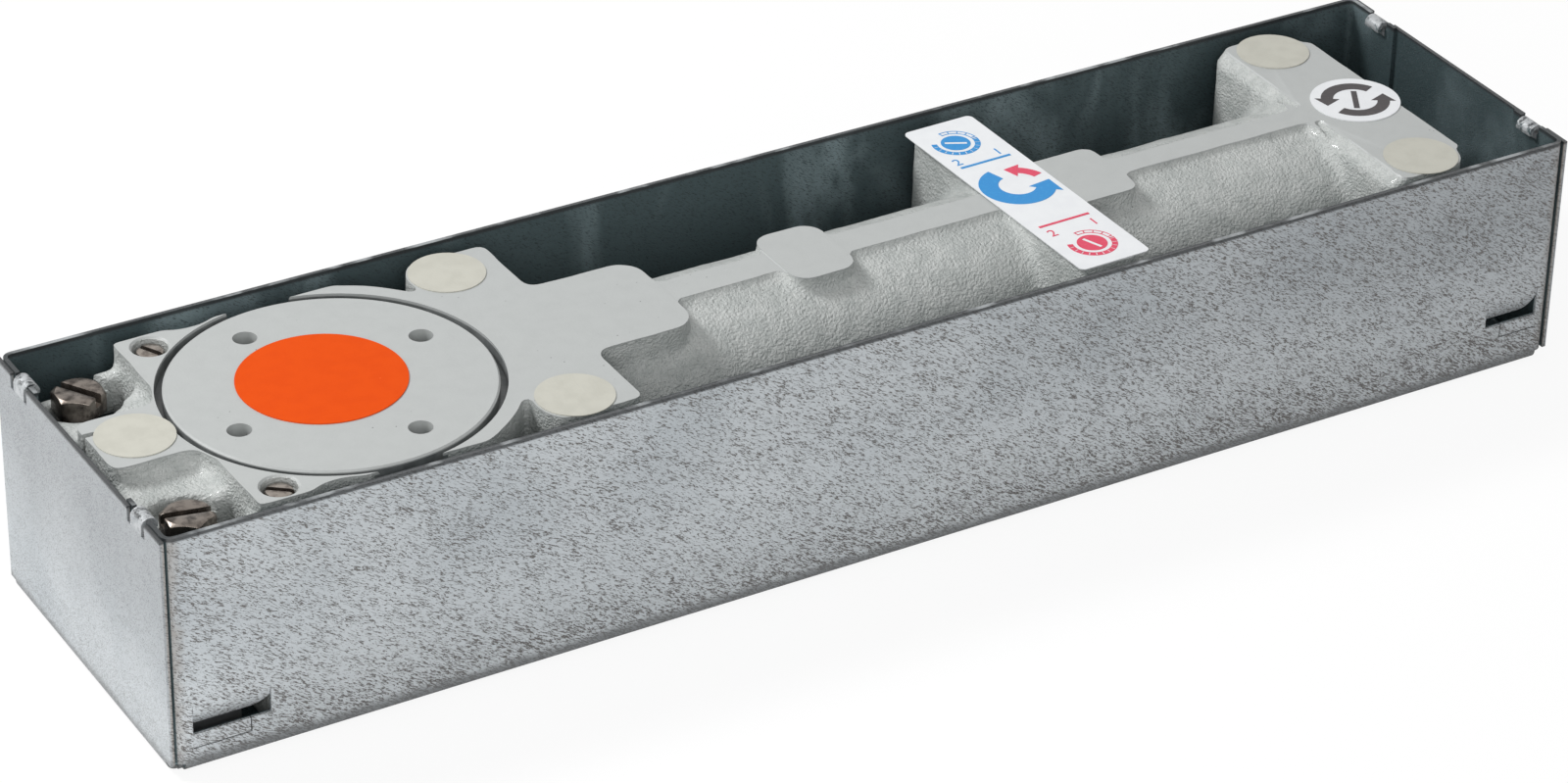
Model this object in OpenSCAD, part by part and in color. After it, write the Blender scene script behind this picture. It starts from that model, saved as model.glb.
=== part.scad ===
// Floor spring door closer in its folded cement box.
// Frame: X runs along the closer, Y across it, Z up. The origin is on the spindle axis,
// at the underside of the cement box. A heart cam on the spindle pushes a roller, a piston
// and a spring along the barrel when the door opens.

/* [Casting] */
// Overall length of the casting
body_len = 342; // [320:1:380]
// Width of the casting across its flat flanks
body_w = 76.4; // [75.6:0.2:77.6]
// Height of the casting
body_h = 57.2; // [56.4:0.2:60]
// Distance from the left end of the casting to the spindle axis
spindle_inset = 57; // [55:0.5:60]
// Gap between the barrel and the underside of the casting
barrel_rise = 0.7; // [0.4:0.1:2]
// How far the rough crown of the barrel lies under the milled top
crown_drop = 1.5; // [1:0.1:1.7]
// Length of the head block to the right of the spindle
head_right = 57.2; // [55:0.2:62]
// Half width of the tongue that runs from the head onto the barrel
tongue_half = 16; // [12:0.5:20]
// Length of that tongue past the head block
tongue_len = 26.7; // [15:0.5:32]
// Distance from the tongue to the small pad on the barrel
pad_gap = 28.8; // [20:0.1:34]
// Length of the small pad
pad_len = 16.7; // [12:0.1:20]
// Half width of the two pads on the barrel
pad_half = 11.2; // [8:0.1:14]
// How far the second pad reaches past the cross block
second_pad_len = 18.3; // [12:0.1:24]
// Radius of the foundry fillets where the barrel meets the blocks
fillet_r = 3; // [1.5:0.1:4]
// Half width of the narrow lug at the left end
lug_half = 10.5; // [9.5:0.25:13]
// Depth of the corner pockets under the milled top
pocket_drop = 5; // [3:0.25:6]
// Thickness of the fixing flange under the pockets
flange_t = 10; // [8:0.5:12]
// Length of the end block
end_block_len = 18.9; // [18:0.1:24]
// Length of the rough slope in front of the end block
end_slope_len = 5.3; // [3:0.1:8]
// Height of that slope
end_slope_h = 2.5; // [1.5:0.1:4]
// Step between the flank of the casting and the edge of the fixing flange
flange_step = 1.7; // [1:0.1:2.4]
// Wall round the groove of the cover
ring_wall = 3.7; // [2.8:0.1:4.4]
// Radius of the corner between the lug and the head
corner_r = 5.5; // [2:0.1:6]
// Half width of the web between the cover and the corner bosses
web_half = 26.6; // [24:0.2:30]

/* [Cement box] */
// Thickness of the galvanised sheet
sheet = 1; // [0.8:0.1:1.5]
// Height of the rim above the casting
rim_rise = 1.5; // [0.5:0.1:3]
// Gap between the casting and the left end wall
left_gap = 3; // [2.6:0.1:8]
// Gap between the casting and the right end wall
right_gap = 22; // [12:0.5:40]
// Gap between the casting and each long wall
side_gap = 4.3; // [3.8:0.1:10]
// Gap between the casting and the floor of the box
floor_gap = 0.3; // [0.1:0.1:0.6]
// Outer radius of the folds
fold_r = 2.5; // [2:0.1:3.5]
// Width of the return flanges inside the end walls
return_w = 19; // [14:0.5:21]
// Width of the curled tongues on the end walls
curl_w = 5.5; // [4:0.25:7]
// Outer radius of the curls
curl_r = 2; // [1.9:0.1:2.2]
// Distance from a long wall to the middle of a curl
curl_inset = 12.5; // [9:0.25:14]

/* [Bearing cover] */
// Radius of the cover disc
cover_r = 37.1; // [36.2:0.1:37.3]
// Width of the groove round the cover disc
groove_w = 1.8; // [1.5:0.1:2.2]
// Depth of the groove round the cover disc
groove_d = 3.5; // [2.5:0.1:4.5]
// Radius of the threaded neck of the cover
neck_r = 35; // [34:0.1:35.6]
// Gap between the piston fork and the cover
cover_gap = 1; // [0.6:0.1:1.6]
// Radius of the spanner holes
spanner_r = 2.8; // [2:0.1:3.2]
// Radius of the circle that the spanner holes lie on
spanner_ring = 27.7; // [26.8:0.1:29.5]
// Depth of the spanner holes
spanner_d = 6; // [3:0.25:7]
// Angle of the first spanner hole
spanner_turn = 18; // [0:1:45]

/* [Cam drive] */
// Radius of the cam roller
roller_r = 8.5; // [8:0.1:9]
// Distance from the spindle axis to the roller with the door shut
roller_x = 22.5; // [22.2:0.1:23]
// Travel of the piston over half a turn of the spindle
cam_lift = 17.5; // [14:0.25:18]
// Thickness of the heart cam
cam_t = 14; // [12:0.25:14.5]
// Radius of the roller pin
pin_r = 4; // [3.2:0.1:4.4]
// Radius of the cam seat on the spindle
seat_r = 11; // [10.4:0.1:11.4]
// Radius of the spindle in its upper bearing
spindle_r = 12.5; // [12:0.1:12.8]
// Radius of the spindle in its lower bearing
journal_r = 9; // [8:0.1:9.6]
// Side of the square drive socket
socket_w = 15; // [13:0.1:16]
// Depth of the square drive socket
socket_d = 13; // [10:0.5:15]
// Wall radius of the threaded hole under the socket
spindle_thread_r = 3.4; // [2.5:0.1:4.2]
// Length of the threaded hole under the socket
spindle_thread_len = 16; // [10:0.5:18]
// How far the spindle ends under the milled top
spindle_sink = 2; // [1:0.1:2.6]

/* [Piston and spring] */
// Radius of the barrel bore
bore_r = 21; // [20:0.1:21.6]
// Length of the piston skirt
piston_len = 40; // [32:1:50]
// Distance from the roller axis to the piston crown
fork_len = 14.5; // [14:0.25:18]
// Half width of the fork cheeks
fork_half = 13; // [10:0.5:14]
// Thickness of each fork cheek
cheek_t = 4; // [3.4:0.1:4.2]
// Radius of the spring wire
wire_r = 3.2; // [2.4:0.1:3.4]
// Mean radius of the spring
coil_r = 16.2; // [15.9:0.1:16.6]
// Gap between the spring seat and the end plug
seat_gap = 17; // [8:0.5:25]
// Number of spring turns
spring_turns = 11; // [8:1:14]
// Radius of the spigots that centre the spring
spigot_r = 12.4; // [10:0.1:12.5]
// Thickness of the spring seat
seat_t = 10; // [8:0.5:12]
// Radius of the force adjusting screw
adjuster_r = 6; // [5:0.1:6.5]
// Radius of the end plug
plug_r = 23; // [22:0.1:23.6]
// Length of the end plug
plug_len = 23; // [18:0.5:25]

/* [Valves] */
// Left face of the cross block that holds the valves
valve_block_x = 173.5; // [165:0.5:180]
// Length of the cross block
valve_block_len = 14.5; // [13:0.25:18]
// Distance from the flank of the casting to the valves
valve_inset = 10.2; // [8.6:0.1:11.2]
// Radius of the valve screws
valve_r = 5; // [4:0.1:5.4]
// Length of the valve screws
valve_len = 17; // [12:0.5:19]
// Depth of the valve screws under the milled top
valve_sink = 3; // [1.5:0.1:4]

/* [Screws] */
// Radius of the levelling screws
level_r = 4.05; // [3.5:0.05:4.3]
// Distance from the spindle axis to the levelling screws
level_ring = 43.74; // [43.3:0.02:44.2]
// Distance from the flank of the casting to the levelling screws
level_inset = 5.1; // [4.8:0.1:5.6]
// Distance from the levelling screws to the left face of the head block
level_wall = 6.9; // [5.5:0.1:7.5]
// Distance from the left end of the casting to the fixing bolts
bolt_end_inset = 9; // [8:0.1:10]
// Distance from the flank of the casting to the fixing bolts
bolt_inset = 9.6; // [8.8:0.1:11]
// Shank radius of the fixing bolts
bolt_r = 4; // [3:0.1:4.3]
// Width across flats of the bolt heads
bolt_af = 13; // [11:0.25:14]
// Height of the bolt heads
bolt_head_h = 5.3; // [4:0.1:6]
// Radius of the spot faces under the bolt heads
spot_r = 10; // [8.5:0.1:10.4]
// Depth of the spot faces under the milled top
spot_drop = 8.5; // [7:0.1:9.5]
// Wall radius of the threaded holes for the cover plate
plate_hole_r = 2.5; // [2:0.1:3]
// Depth of the threaded holes for the cover plate
plate_hole_d = 12; // [8:0.5:13]
// Distance from the flank of the casting to the pairs of cover plate holes
plate_inset = 7.5; // [7.2:0.1:9]
// Left cover plate hole, distance from the left end of the casting
plate_left_inset = 9.9; // [8.5:0.1:10.5]
// Cover plate holes in the head, distance from its right face
plate_head_inset = 13; // [11:0.1:14]
// Cover plate holes in the end block, distance from the right end of the casting
plate_end_inset = 11.3; // [9.5:0.1:12.5]

/* [Labels] */
// Thickness of the stick-on labels
label_t = 0.25; // [0.15:0.05:0.5]
// Radius of the disc over the spindle opening
spindle_label_r = 19.2; // [17:0.1:21]
// Radius of the discs over the cover plate holes
hole_label_r = 9; // [7:0.1:9.6]
// Radius of the direction label
direction_label_r = 11; // [9:0.1:12]
// How far the valve label stops short of each flank
label_margin = 0.2; // [0.1:0.05:3]
// Width of the valve label
valve_label_w = 19.2; // [15:0.1:22]
// Turn of the valve label, as it is stuck on
valve_label_turn = 1.2; // [0:0.1:2]

/* [Clearances] */
// Running clearance on a radius
run = 0.05; // [0.03:0.01:0.08]
// Assembly clearance between parts that don't move on each other
fit = 0.02; // [0.01:0.01:0.04]
// Clearance between the cam and its roller
cam_gap = 0.05; // [0.03:0.01:0.1]

/* [Hidden] */
$fn = 64;
eps = 0.01;

// Casting
half_w = body_w / 2;
body_x0 = -spindle_inset;
body_x1 = body_len - spindle_inset;
body_z0 = sheet + floor_gap;
body_z1 = body_z0 + body_h;
barrel_r = (body_h - crown_drop - barrel_rise) / 2;
mid_z = body_z1 - crown_drop - barrel_r;
flange_z1 = body_z1 - pocket_drop;
flange_z0 = flange_z1 - flange_t;
flange_half = half_w - flange_step;
level_y = half_w - level_inset;
level_x = sqrt(pow(level_ring, 2) - pow(level_y, 2));
head_left = level_x + level_wall;
bolt_x = spindle_inset - bolt_end_inset;
bolt_y = half_w - bolt_inset;
plate_y = half_w - plate_inset;
tongue_x1 = head_right + tongue_len;
end_block_x = body_x1 - end_block_len;
ring_wall_r = cover_r + groove_w + ring_wall;
plate_x_left = body_x0 + plate_left_inset;
plate_x_head = head_right - plate_head_inset;
plate_x_end = body_x1 - plate_end_inset;
boss_r = hole_label_r + 0.5;
// How far the barrel and its lands run into the blocks that they grow from
barrel_root = 20;
land_root = 10;

// Cement box
box_x0 = body_x0 - left_gap - sheet;
box_x1 = body_x1 + right_gap + sheet;
box_w = body_w + 2 * side_gap + 2 * sheet;
box_half = box_w / 2;
box_h = body_z1 + rim_rise;
// Windows of a long wall: left edge, length, height of the lower edge, height of the slot,
// height of the flap, length of the tongue under it, and 1 for a mirrored one
windows = [
    [box_x0 + 5.4, 18.5, 9.4, 3.2, 3.8, 13.8, 0],
    [box_x1 - 19.9, 15.2, 13.1, 1.9, 6.2, 10.7, 1]
];

// Cam
slot_half = cam_t / 2 + 0.5;
cheek_z = slot_half + cheek_t;
cam_rate = cam_lift / 180;
trace_r = roller_r + cam_gap;

// Bearing cover and chamber
groove_r = cover_r + groove_w;
cover_z0 = mid_z + cheek_z + cover_gap;
cover_h = body_z1 - cover_z0;
cam_swing_gap = 1.4;
chamber_r = roller_x + cam_lift - roller_r + cam_swing_gap;
fork_floor_gap = 1.8;
chamber_z0 = mid_z - cheek_z - fork_floor_gap;
chamber_wall = 5;

// Thrust washer and lower bearing
washer_z0 = chamber_z0 - 0.75;
washer_t = 0.95;
needle_r = 1.2;
needle_count = 16;
needle_end_gap = 0.8;
cup_wall = 1.6;
cup_r = journal_r + 2 * needle_r + cup_wall;
cup_floor = 5;
cup_clear = 0.2;
cup_z0 = body_z0 + cup_floor;
cup_h = washer_z0 - run - cup_z0 - cup_clear;

// Upper bearing
ball_r = 2.5;
ball_count = 12;
race_h = 8;
race_r = spindle_r + 8.4;
ball_ring = (spindle_r + race_r) / 2;
race_z0 = cover_z0 + 0.3;
seal_z0 = race_z0 + race_h + 0.8;
seal_h = 4;
seal_r = spindle_r + 5.5;

// Rubber rings of the cover and the end plug, and the glands that they lie in
section_r = 0.8;
gland_w = 2 * section_r + 0.8;
gland_d = 2 * section_r + 0.1;

// Piston, spring and end plug
crown_x = roller_x + fork_len;
skirt_x1 = crown_x + piston_len;
plug_x = body_x1 - plug_len;
seat_x = plug_x - seat_gap - seat_t;
spring_len = seat_x - skirt_x1;
ring_x = crown_x + 12;
spigot_len = 8;
collar_t = 3.5;
adjuster_x0 = seat_x - spigot_len - 2;

// Check valve in the piston crown: oil lifts the ball towards the spindle as the door opens
check_ball_r = 3;
check_hole_r = 1.8;
check_bore_r = check_ball_r + 0.4;
check_seat_x = crown_x + 10;
check_ball_x = check_seat_x - sqrt(pow(check_ball_r, 2) - pow(check_hole_r, 2)) - run;
check_retainer_t = 1.2;

// Spindle
spindle_z1 = body_z1 - spindle_sink;

// Fixing bar under the bolts
bar_w = 12;
bar_t = 8;
bar_over = 10;
bolt_tip_gap = 1.5;
bolt_slot_turn = -42;

// Valves
valve_turn = 35;
valve_y = half_w - valve_inset;
valve_x = valve_block_x + valve_block_len / 2 - 0.2;
valve_z1 = body_z1 - valve_sink;
valve_z0 = valve_z1 - valve_len;
channel_z = valve_z0 - 5.5;
channel_r = 1.8;
channel_plug_r = 3;

// Labels
valve_label_len = body_w - 2 * label_margin;
direction_label_inset = 8.4;

// Shared round shapes

// Tube between two radii
module tube(r_out, r_in, h) {
    difference() {
        cylinder(r = r_out, h = h);
        translate([0, 0, -1]) cylinder(r = r_in, h = h + 2);
    }
}

// Rubber ring of round section about Z
module o_ring(ring_r, section_r) {
    rotate_extrude() translate([ring_r, 0]) circle(r = section_r, $fn = 32);
}

// Cylinder along +X that starts at x
module rod_x(x, r, len) {
    translate([x, 0, mid_z]) rotate([0, 90, 0]) cylinder(r = r, h = len);
}

// Screwdriver slot across a screw head, cut from its top down
module driver_slot(z_top, width, depth, reach, turn) {
    translate([0, 0, z_top - depth]) rotate([0, 0, turn]) translate([-reach, -width / 2, 0])
        cube([2 * reach, width, depth + 1]);
}

// Rectangle from x0 to x1 about the X axis, with rounded corners
module round_rect(x0, x1, half, r) {
    translate([x0 + r, -half]) square([x1 - x0 - 2 * r, 2 * half]);
    translate([x0, -half + r]) square([x1 - x0, 2 * half - 2 * r]);
    for (x = [x0 + r, x1 - r], y = [-half + r, half - r]) translate([x, y]) circle(r = r);
}

// The same shape once on each side of the middle plane
module both_sides() {
    children();
    mirror([0, 1, 0]) children();
}

// Places of the five threaded holes for the cover plate
function plate_holes() = [
    [plate_x_left, 0],
    [plate_x_head, plate_y], [plate_x_head, -plate_y],
    [plate_x_end, plate_y], [plate_x_end, -plate_y]
];

// Casting

// Head block seen from above
module head_outline() {
    intersection() {
        union() {
            translate([-head_left, -half_w]) square([head_left + 18, body_w]);
            circle(r = ring_wall_r);
            translate([0, -web_half]) square([head_right, 2 * web_half]);
            both_sides() translate([plate_x_head, plate_y]) circle(r = boss_r);
            round_rect(plate_x_head, head_right, half_w, 1.5);
        }
        translate([-head_left, -half_w]) square([head_left + head_right, body_w]);
    }
}

// Flare of a crown strip: from a thin trace at x0 to its full width at x1
module crown_flare(x0, x1) {
    thin = 0.7;
    wide = 3.4;
    both_sides() polygon([[x0, 0], [x0, thin], [x1, wide], [x1, 0]]);
}

// Strip of the barrel crown that the milling cutter has cleaned up
module crown_outline() {
    pad_x0 = tongue_x1 + pad_gap;
    pad_x1 = pad_x0 + pad_len;
    trace_half = 0.7;
    strip_half = 3.1;
    translate([tongue_x1 - 1, -trace_half])
        square([valve_block_x - tongue_x1 + 2, 2 * trace_half]);
    crown_flare(pad_x0 - 12, pad_x0 + 1);
    crown_flare(pad_x1 + 13.5, pad_x1 - 1);
    crown_flare(valve_block_x - 16, valve_block_x + 1);
    round_rect(pad_x0, pad_x1, pad_half, 4.5);
    translate([valve_block_x, -strip_half])
        square([end_block_x - valve_block_x + 1, 2 * strip_half]);
    round_rect(valve_block_x + 5, valve_block_x + valve_block_len + second_pad_len, pad_half, 3);
}

// Lands that stand on the barrel, seen from above
module barrel_lands() {
    round_rect(head_right - land_root, tongue_x1, tongue_half, 6.3);
    crown_outline();
}

// Barrel with its slightly peaked crown
module barrel() {
    peak = barrel_r + crown_drop - 0.3;
    tangent = acos(barrel_r / peak);
    translate([head_right - barrel_root, 0, mid_z]) rotate([90, 0, 90])
        linear_extrude(body_x1 - head_right + barrel_root) {
            circle(r = barrel_r);
            polygon([
                [0, 0], [barrel_r * sin(tangent), barrel_r * cos(tangent)], [0, peak],
                [-barrel_r * sin(tangent), barrel_r * cos(tangent)]
            ]);
        }
}

// Concave fillet round the barrel against an upright face at x: dir is the way it runs out
module barrel_fillet(x, dir) {
    translate([x, 0, mid_z]) mirror([dir > 0 ? 0 : 1, 0, 0]) rotate([0, 90, 0]) rotate_extrude()
        difference() {
            translate([barrel_r - 1, -eps]) square([fillet_r + 1, fillet_r + eps]);
            translate([barrel_r + fillet_r, fillet_r]) circle(r = fillet_r);
        }
}

// Cross block that carries the valves
module valve_block() {
    x0 = valve_block_x;
    x1 = valve_block_x + valve_block_len;
    translate([0, half_w, 0]) rotate([90, 0, 0]) linear_extrude(body_w) polygon([
        [x0 + 1, body_z1], [x1 - 1, body_z1], [x1, body_z1 - 2], [x1, body_z0 + 8],
        [x1 - 1, body_z0 + 6], [x0 + 1, body_z0 + 6], [x0, body_z0 + 8], [x0, body_z1 - 2]
    ]);
}

// End block: milled land, rough slope towards the barrel and rounded corners
module end_block() {
    intersection() {
        translate([0, half_w, 0]) rotate([90, 0, 0]) linear_extrude(body_w) polygon([
            [end_block_x - end_slope_len, body_z0], [body_x1, body_z0], [body_x1, body_z1],
            [end_block_x, body_z1], [end_block_x - end_slope_len, body_z1 - end_slope_h]
        ]);
        translate([0, 0, body_z0]) linear_extrude(body_h) {
            round_rect(end_block_x - end_slope_len, plate_x_end, half_w, 3);
            translate([end_block_x, -plate_y]) square([end_block_len, 2 * plate_y]);
            both_sides() translate([plate_x_end, plate_y]) circle(r = boss_r);
        }
    }
}

// Flange with the two open slots for the fixing bolts
module fixing_flange() {
    translate([0, 0, flange_z0]) linear_extrude(flange_t)
        round_rect(body_x0, -head_left + 6, flange_half, 4);
    translate([0, 0, flange_z0]) linear_extrude(body_z1 - flange_z0)
        round_rect(body_x0, -head_left + 4, lug_half, 2.5);
}

// Concave blend in the corner between two upright faces
module corner_blend(x, y, r, z0, h) {
    translate([x, y, z0]) difference() {
        cube([r, r, h]);
        translate([r, r, -1]) cylinder(r = r, h = h + 2);
    }
}

// Concave sweep from the milled land down to the flange in the corner pockets
module pocket_sweep() {
    r = pocket_drop - 0.8;
    both_sides() {
        translate([-head_left - r, lug_half, flange_z1 - eps]) difference() {
            cube([r + 1, bolt_y - spot_r / 2 - lug_half, r]);
            translate([0, -1, r]) rotate([-90, 0, 0]) cylinder(r = r, h = half_w);
        }
        translate([body_x0 + 4, lug_half - 1, flange_z1 - eps]) difference() {
            cube([spindle_inset - head_left - 4, r + 1, r]);
            translate([-1, r + 1, r]) rotate([0, 90, 0]) cylinder(r = r, h = spindle_inset);
        }
    }
}

// Everything that the foundry pours
module raw_casting() {
    translate([0, 0, body_z0]) linear_extrude(body_h) head_outline();
    translate([0, 0, body_z0]) intersection() {
        cylinder(r = chamber_r + chamber_wall, h = flange_z0 - body_z0 + eps);
        translate([body_x0, -half_w, 0]) cube([-body_x0, body_w, body_h]);
    }
    fixing_flange();
    pocket_sweep();
    barrel();
    translate([0, 0, mid_z]) linear_extrude(body_z1 - mid_z) barrel_lands();
    valve_block();
    end_block();
    intersection() {
        union() {
            barrel_fillet(head_right, 1);
            barrel_fillet(valve_block_x, -1);
            barrel_fillet(valve_block_x + valve_block_len, 1);
            barrel_fillet(end_block_x - end_slope_len, -1);
        }
        translate([0, -half_w, body_z0]) cube([body_x1, body_w, body_h]);
    }
    both_sides() mirror([1, 0, 0])
        corner_blend(head_left - eps, lug_half - eps, corner_r, flange_z0, body_z1 - flange_z0);
    both_sides()
        corner_blend(head_right - eps, tongue_half - eps, fillet_r, mid_z, body_z1 - mid_z);
}

// Chamber of the cam, the seat of the cover and the bore of the barrel
module working_space() {
    translate([0, 0, body_z1 - groove_d]) cylinder(r = groove_r, h = groove_d + 1, $fn = 128);
    translate([0, 0, cover_z0 - eps]) cylinder(r = neck_r + fit, h = body_z1);
    translate([0, 0, chamber_z0]) cylinder(r = chamber_r, h = body_z1);
    translate([0, 0, cup_z0]) cylinder(r = cup_r + fit, h = body_z1);
    rod_x(chamber_r - 10, bore_r, body_len);
    rod_x(plug_x, plug_r + fit, plug_len + 1);
}

// One valve bore with its channel to the barrel
module valve_bore() {
    translate([valve_x, valve_y, channel_z]) {
        cylinder(r = 2.5, h = body_z1);
        translate([0, 0, valve_z0 - channel_z - 1]) cylinder(r = valve_r + run, h = body_z1);
        translate([0, -valve_y + bore_r - 3, 0]) rotate([-90, 0, 0])
            cylinder(r = channel_r, h = half_w);
        translate([0, half_w - valve_y - 4, 0]) rotate([-90, 0, 0])
            cylinder(r = channel_plug_r + fit, h = 6);
    }
}

// Open slot and spot face for one fixing bolt
module bolt_slot() {
    translate([-bolt_x, bolt_y, body_z1 - spot_drop]) cylinder(r = spot_r, h = spot_drop + 1);
    translate([-bolt_x + 5, bolt_y, flange_z0 - 1]) {
        cylinder(r = bolt_r + 0.5, h = flange_t + 2);
        translate([body_x0 + bolt_x - 6, -bolt_r - 0.5, 0])
            cube([bolt_x - body_x0, 2 * bolt_r + 1, flange_t + 2]);
    }
}

// Shallow foundry relief in the flank beside the cover
module flank_relief() {
    relief_x = 17;
    relief_r = 12.3;
    relief_drop = 8;
    depth = 1.7;
    translate([-relief_x, half_w + relief_r - depth, body_z1 - relief_drop])
        cylinder(r = relief_r, h = relief_drop + 1);
}

module closer_body() {
    color([0.79, 0.80, 0.81]) difference() {
        raw_casting();
        working_space();
        both_sides() {
            valve_bore();
            translate([-level_x, level_y, 0]) cylinder(r = level_r + run, h = body_z1 + 1);
            flank_relief();
        }
        both_sides() intersection() {
            bolt_slot();
            translate([body_x0 - 1, lug_half + 3, 0])
                cube([spindle_inset - head_left + 0.5, half_w, body_z1 + 1]);
        }
        for (p = plate_holes()) translate([p.x, p.y, body_z1 - plate_hole_d])
            cylinder(r = plate_hole_r, h = plate_hole_d + 1);
    }
}

// Cement box

// Quarter bend of the sheet about X: floor side down, wall side out
module floor_bend(len) {
    rotate([90, 0, 90]) linear_extrude(len) intersection() {
        difference() {
            circle(r = fold_r);
            circle(r = fold_r - sheet);
        }
        translate([0, -fold_r]) square(fold_r);
    }
}

// Long wall on the +Y side with its bends and return flanges
module long_wall() {
    inner0 = box_x0 + sheet;
    inner1 = box_x1 - sheet;
    wall_len = inner1 - inner0 - 2 * fold_r;
    translate([inner0 + fold_r, box_half - fold_r, fold_r]) floor_bend(wall_len);
    translate([inner0 + fold_r, box_half - sheet, fold_r]) cube([wall_len, sheet, box_h - fold_r]);
    for (end = [0, 1]) translate([(inner0 + inner1) / 2, 0, 0]) mirror([end, 0, 0])
        translate([(inner1 - inner0) / 2, 0, 0]) return_flange();
}

// Corner bend and return flange at the right end of a long wall
module return_flange() {
    translate([-fold_r, box_half - fold_r, fold_r]) linear_extrude(box_h - fold_r)
        intersection() {
            difference() {
                circle(r = fold_r);
                circle(r = fold_r - sheet);
            }
            square(fold_r);
        }
    difference() {
        translate([-sheet, box_half - return_w, fold_r])
            cube([sheet, return_w - fold_r, box_h - fold_r]);
        translate([-sheet - 1, box_half - curl_inset - curl_w / 2 - 0.7, box_h - curl_r - 0.2])
            cube([sheet + 2, curl_w + 1.4, curl_r + 1]);
    }
}

// Right end wall with its bottom bend, curled tongues and reliefs beside them
module end_wall() {
    tongue_y = box_half - curl_inset;
    relief = 1.6;
    wall_half = box_half - 0.4;
    translate([-fold_r, wall_half - fold_r, fold_r]) rotate([0, 0, -90])
        floor_bend(2 * wall_half - 2 * fold_r);
    difference() {
        translate([-sheet, -wall_half, fold_r])
            cube([sheet, 2 * wall_half, box_h - fold_r - 0.4]);
        both_sides() translate([-sheet - 1, tongue_y - curl_w / 2 - relief, box_h - 4])
            cube([sheet + 2, curl_w + 2 * relief, 5]);
    }
    both_sides() translate([0, tongue_y, 0]) {
        translate([-sheet, -curl_w / 2, box_h - 4.5]) cube([sheet, curl_w, 4.5 - curl_r]);
        translate([-curl_r, curl_w / 2, box_h - curl_r]) rotate([90, 0, 0])
            linear_extrude(curl_w) intersection() {
                difference() {
                    circle(r = curl_r);
                    circle(r = curl_r - sheet);
                }
                translate([-curl_r, -0.6]) square([2 * curl_r, curl_r + 0.6]);
            }
    }
}

// Opening and half-cut tongue of a lanced window in the -Y wall
module window_cut(w) {
    tongue_len = w[5];
    slit = 0.3;
    drop = 3.6;
    translate([w[0] + w[1] / 2, -box_half - 1, w[2]]) mirror([w[6], 0, 0])
        translate([-w[1] / 2, 0, 0]) {
            cube([w[1], sheet + 2, w[3] + w[4]]);
            translate([0, 0, -drop]) cube([tongue_len, sheet + 2, slit]);
            translate([tongue_len - slit, 0, -drop]) cube([slit, sheet + 2, drop + eps]);
        }
}

// Flap of that window, bent inwards about its upper edge
module window_flap(w) {
    lean = 32;
    shear_gap = 0.15;
    len = w[1] - 2 * shear_gap;
    flap_h = w[4];
    translate([w[0] + w[1] / 2, -box_half, w[2] + w[3] + flap_h]) mirror([w[6], 0, 0])
        rotate([lean, 0, 0]) translate([-len / 2, sheet, 0]) rotate([90, 0, 0])
            linear_extrude(sheet) polygon([
                [0, 0], [0, -flap_h], [len - 4, -flap_h], [len, -flap_h + 2.5], [len, 0]
            ]);
}

module cement_box() {
    color([0.66, 0.70, 0.72]) {
        difference() {
            union() {
                translate([box_x0 + fold_r, -box_half + fold_r, 0])
                    cube([box_x1 - box_x0 - 2 * fold_r, box_w - 2 * fold_r, sheet]);
                both_sides() long_wall();
                translate([box_x1, 0, 0]) end_wall();
                translate([box_x0, 0, 0]) mirror([1, 0, 0]) end_wall();
            }
            both_sides() for (w = windows) window_cut(w);
        }
        both_sides() for (w = windows) window_flap(w);
    }
}

// Threaded bar on the floor of the box
module fixing_bar() {
    color([0.45, 0.46, 0.47]) difference() {
        translate([-bolt_x - bar_w / 2, -bolt_y - bar_over, sheet])
            cube([bar_w, 2 * (bolt_y + bar_over), bar_t]);
        both_sides() translate([-bolt_x, bolt_y, 0])
            cylinder(r = bolt_r + fit, h = sheet + bar_t + 1);
    }
}

// Hexagon bolts with a driver slot, rounded over at the top
module fixing_bolts() {
    head_z = body_z1 - spot_drop;
    head_top = head_z + bolt_head_h;
    corner_r = bolt_af / 2 / cos(30);
    color([0.36, 0.31, 0.28]) both_sides() translate([-bolt_x, bolt_y, 0]) {
        translate([0, 0, sheet + bolt_tip_gap])
            cylinder(r = bolt_r, h = head_z - sheet - bolt_tip_gap + eps);
        difference() {
            intersection() {
                translate([0, 0, head_z]) rotate([0, 0, 12])
                    cylinder(r = corner_r, h = bolt_head_h, $fn = 6);
                translate([0, 0, head_z - eps]) rotate_extrude() polygon([
                    [0, 0], [corner_r + 1, 0], [corner_r + 1, bolt_head_h - 2.9],
                    [bolt_af / 2 - 0.7, bolt_head_h - 0.3], [2.5, bolt_head_h + eps],
                    [0, bolt_head_h + eps]
                ]);
            }
            driver_slot(head_top, 1.8, 2.6, corner_r + 1, bolt_slot_turn);
        }
    }
}

// Cover, seals and bearings

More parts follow.
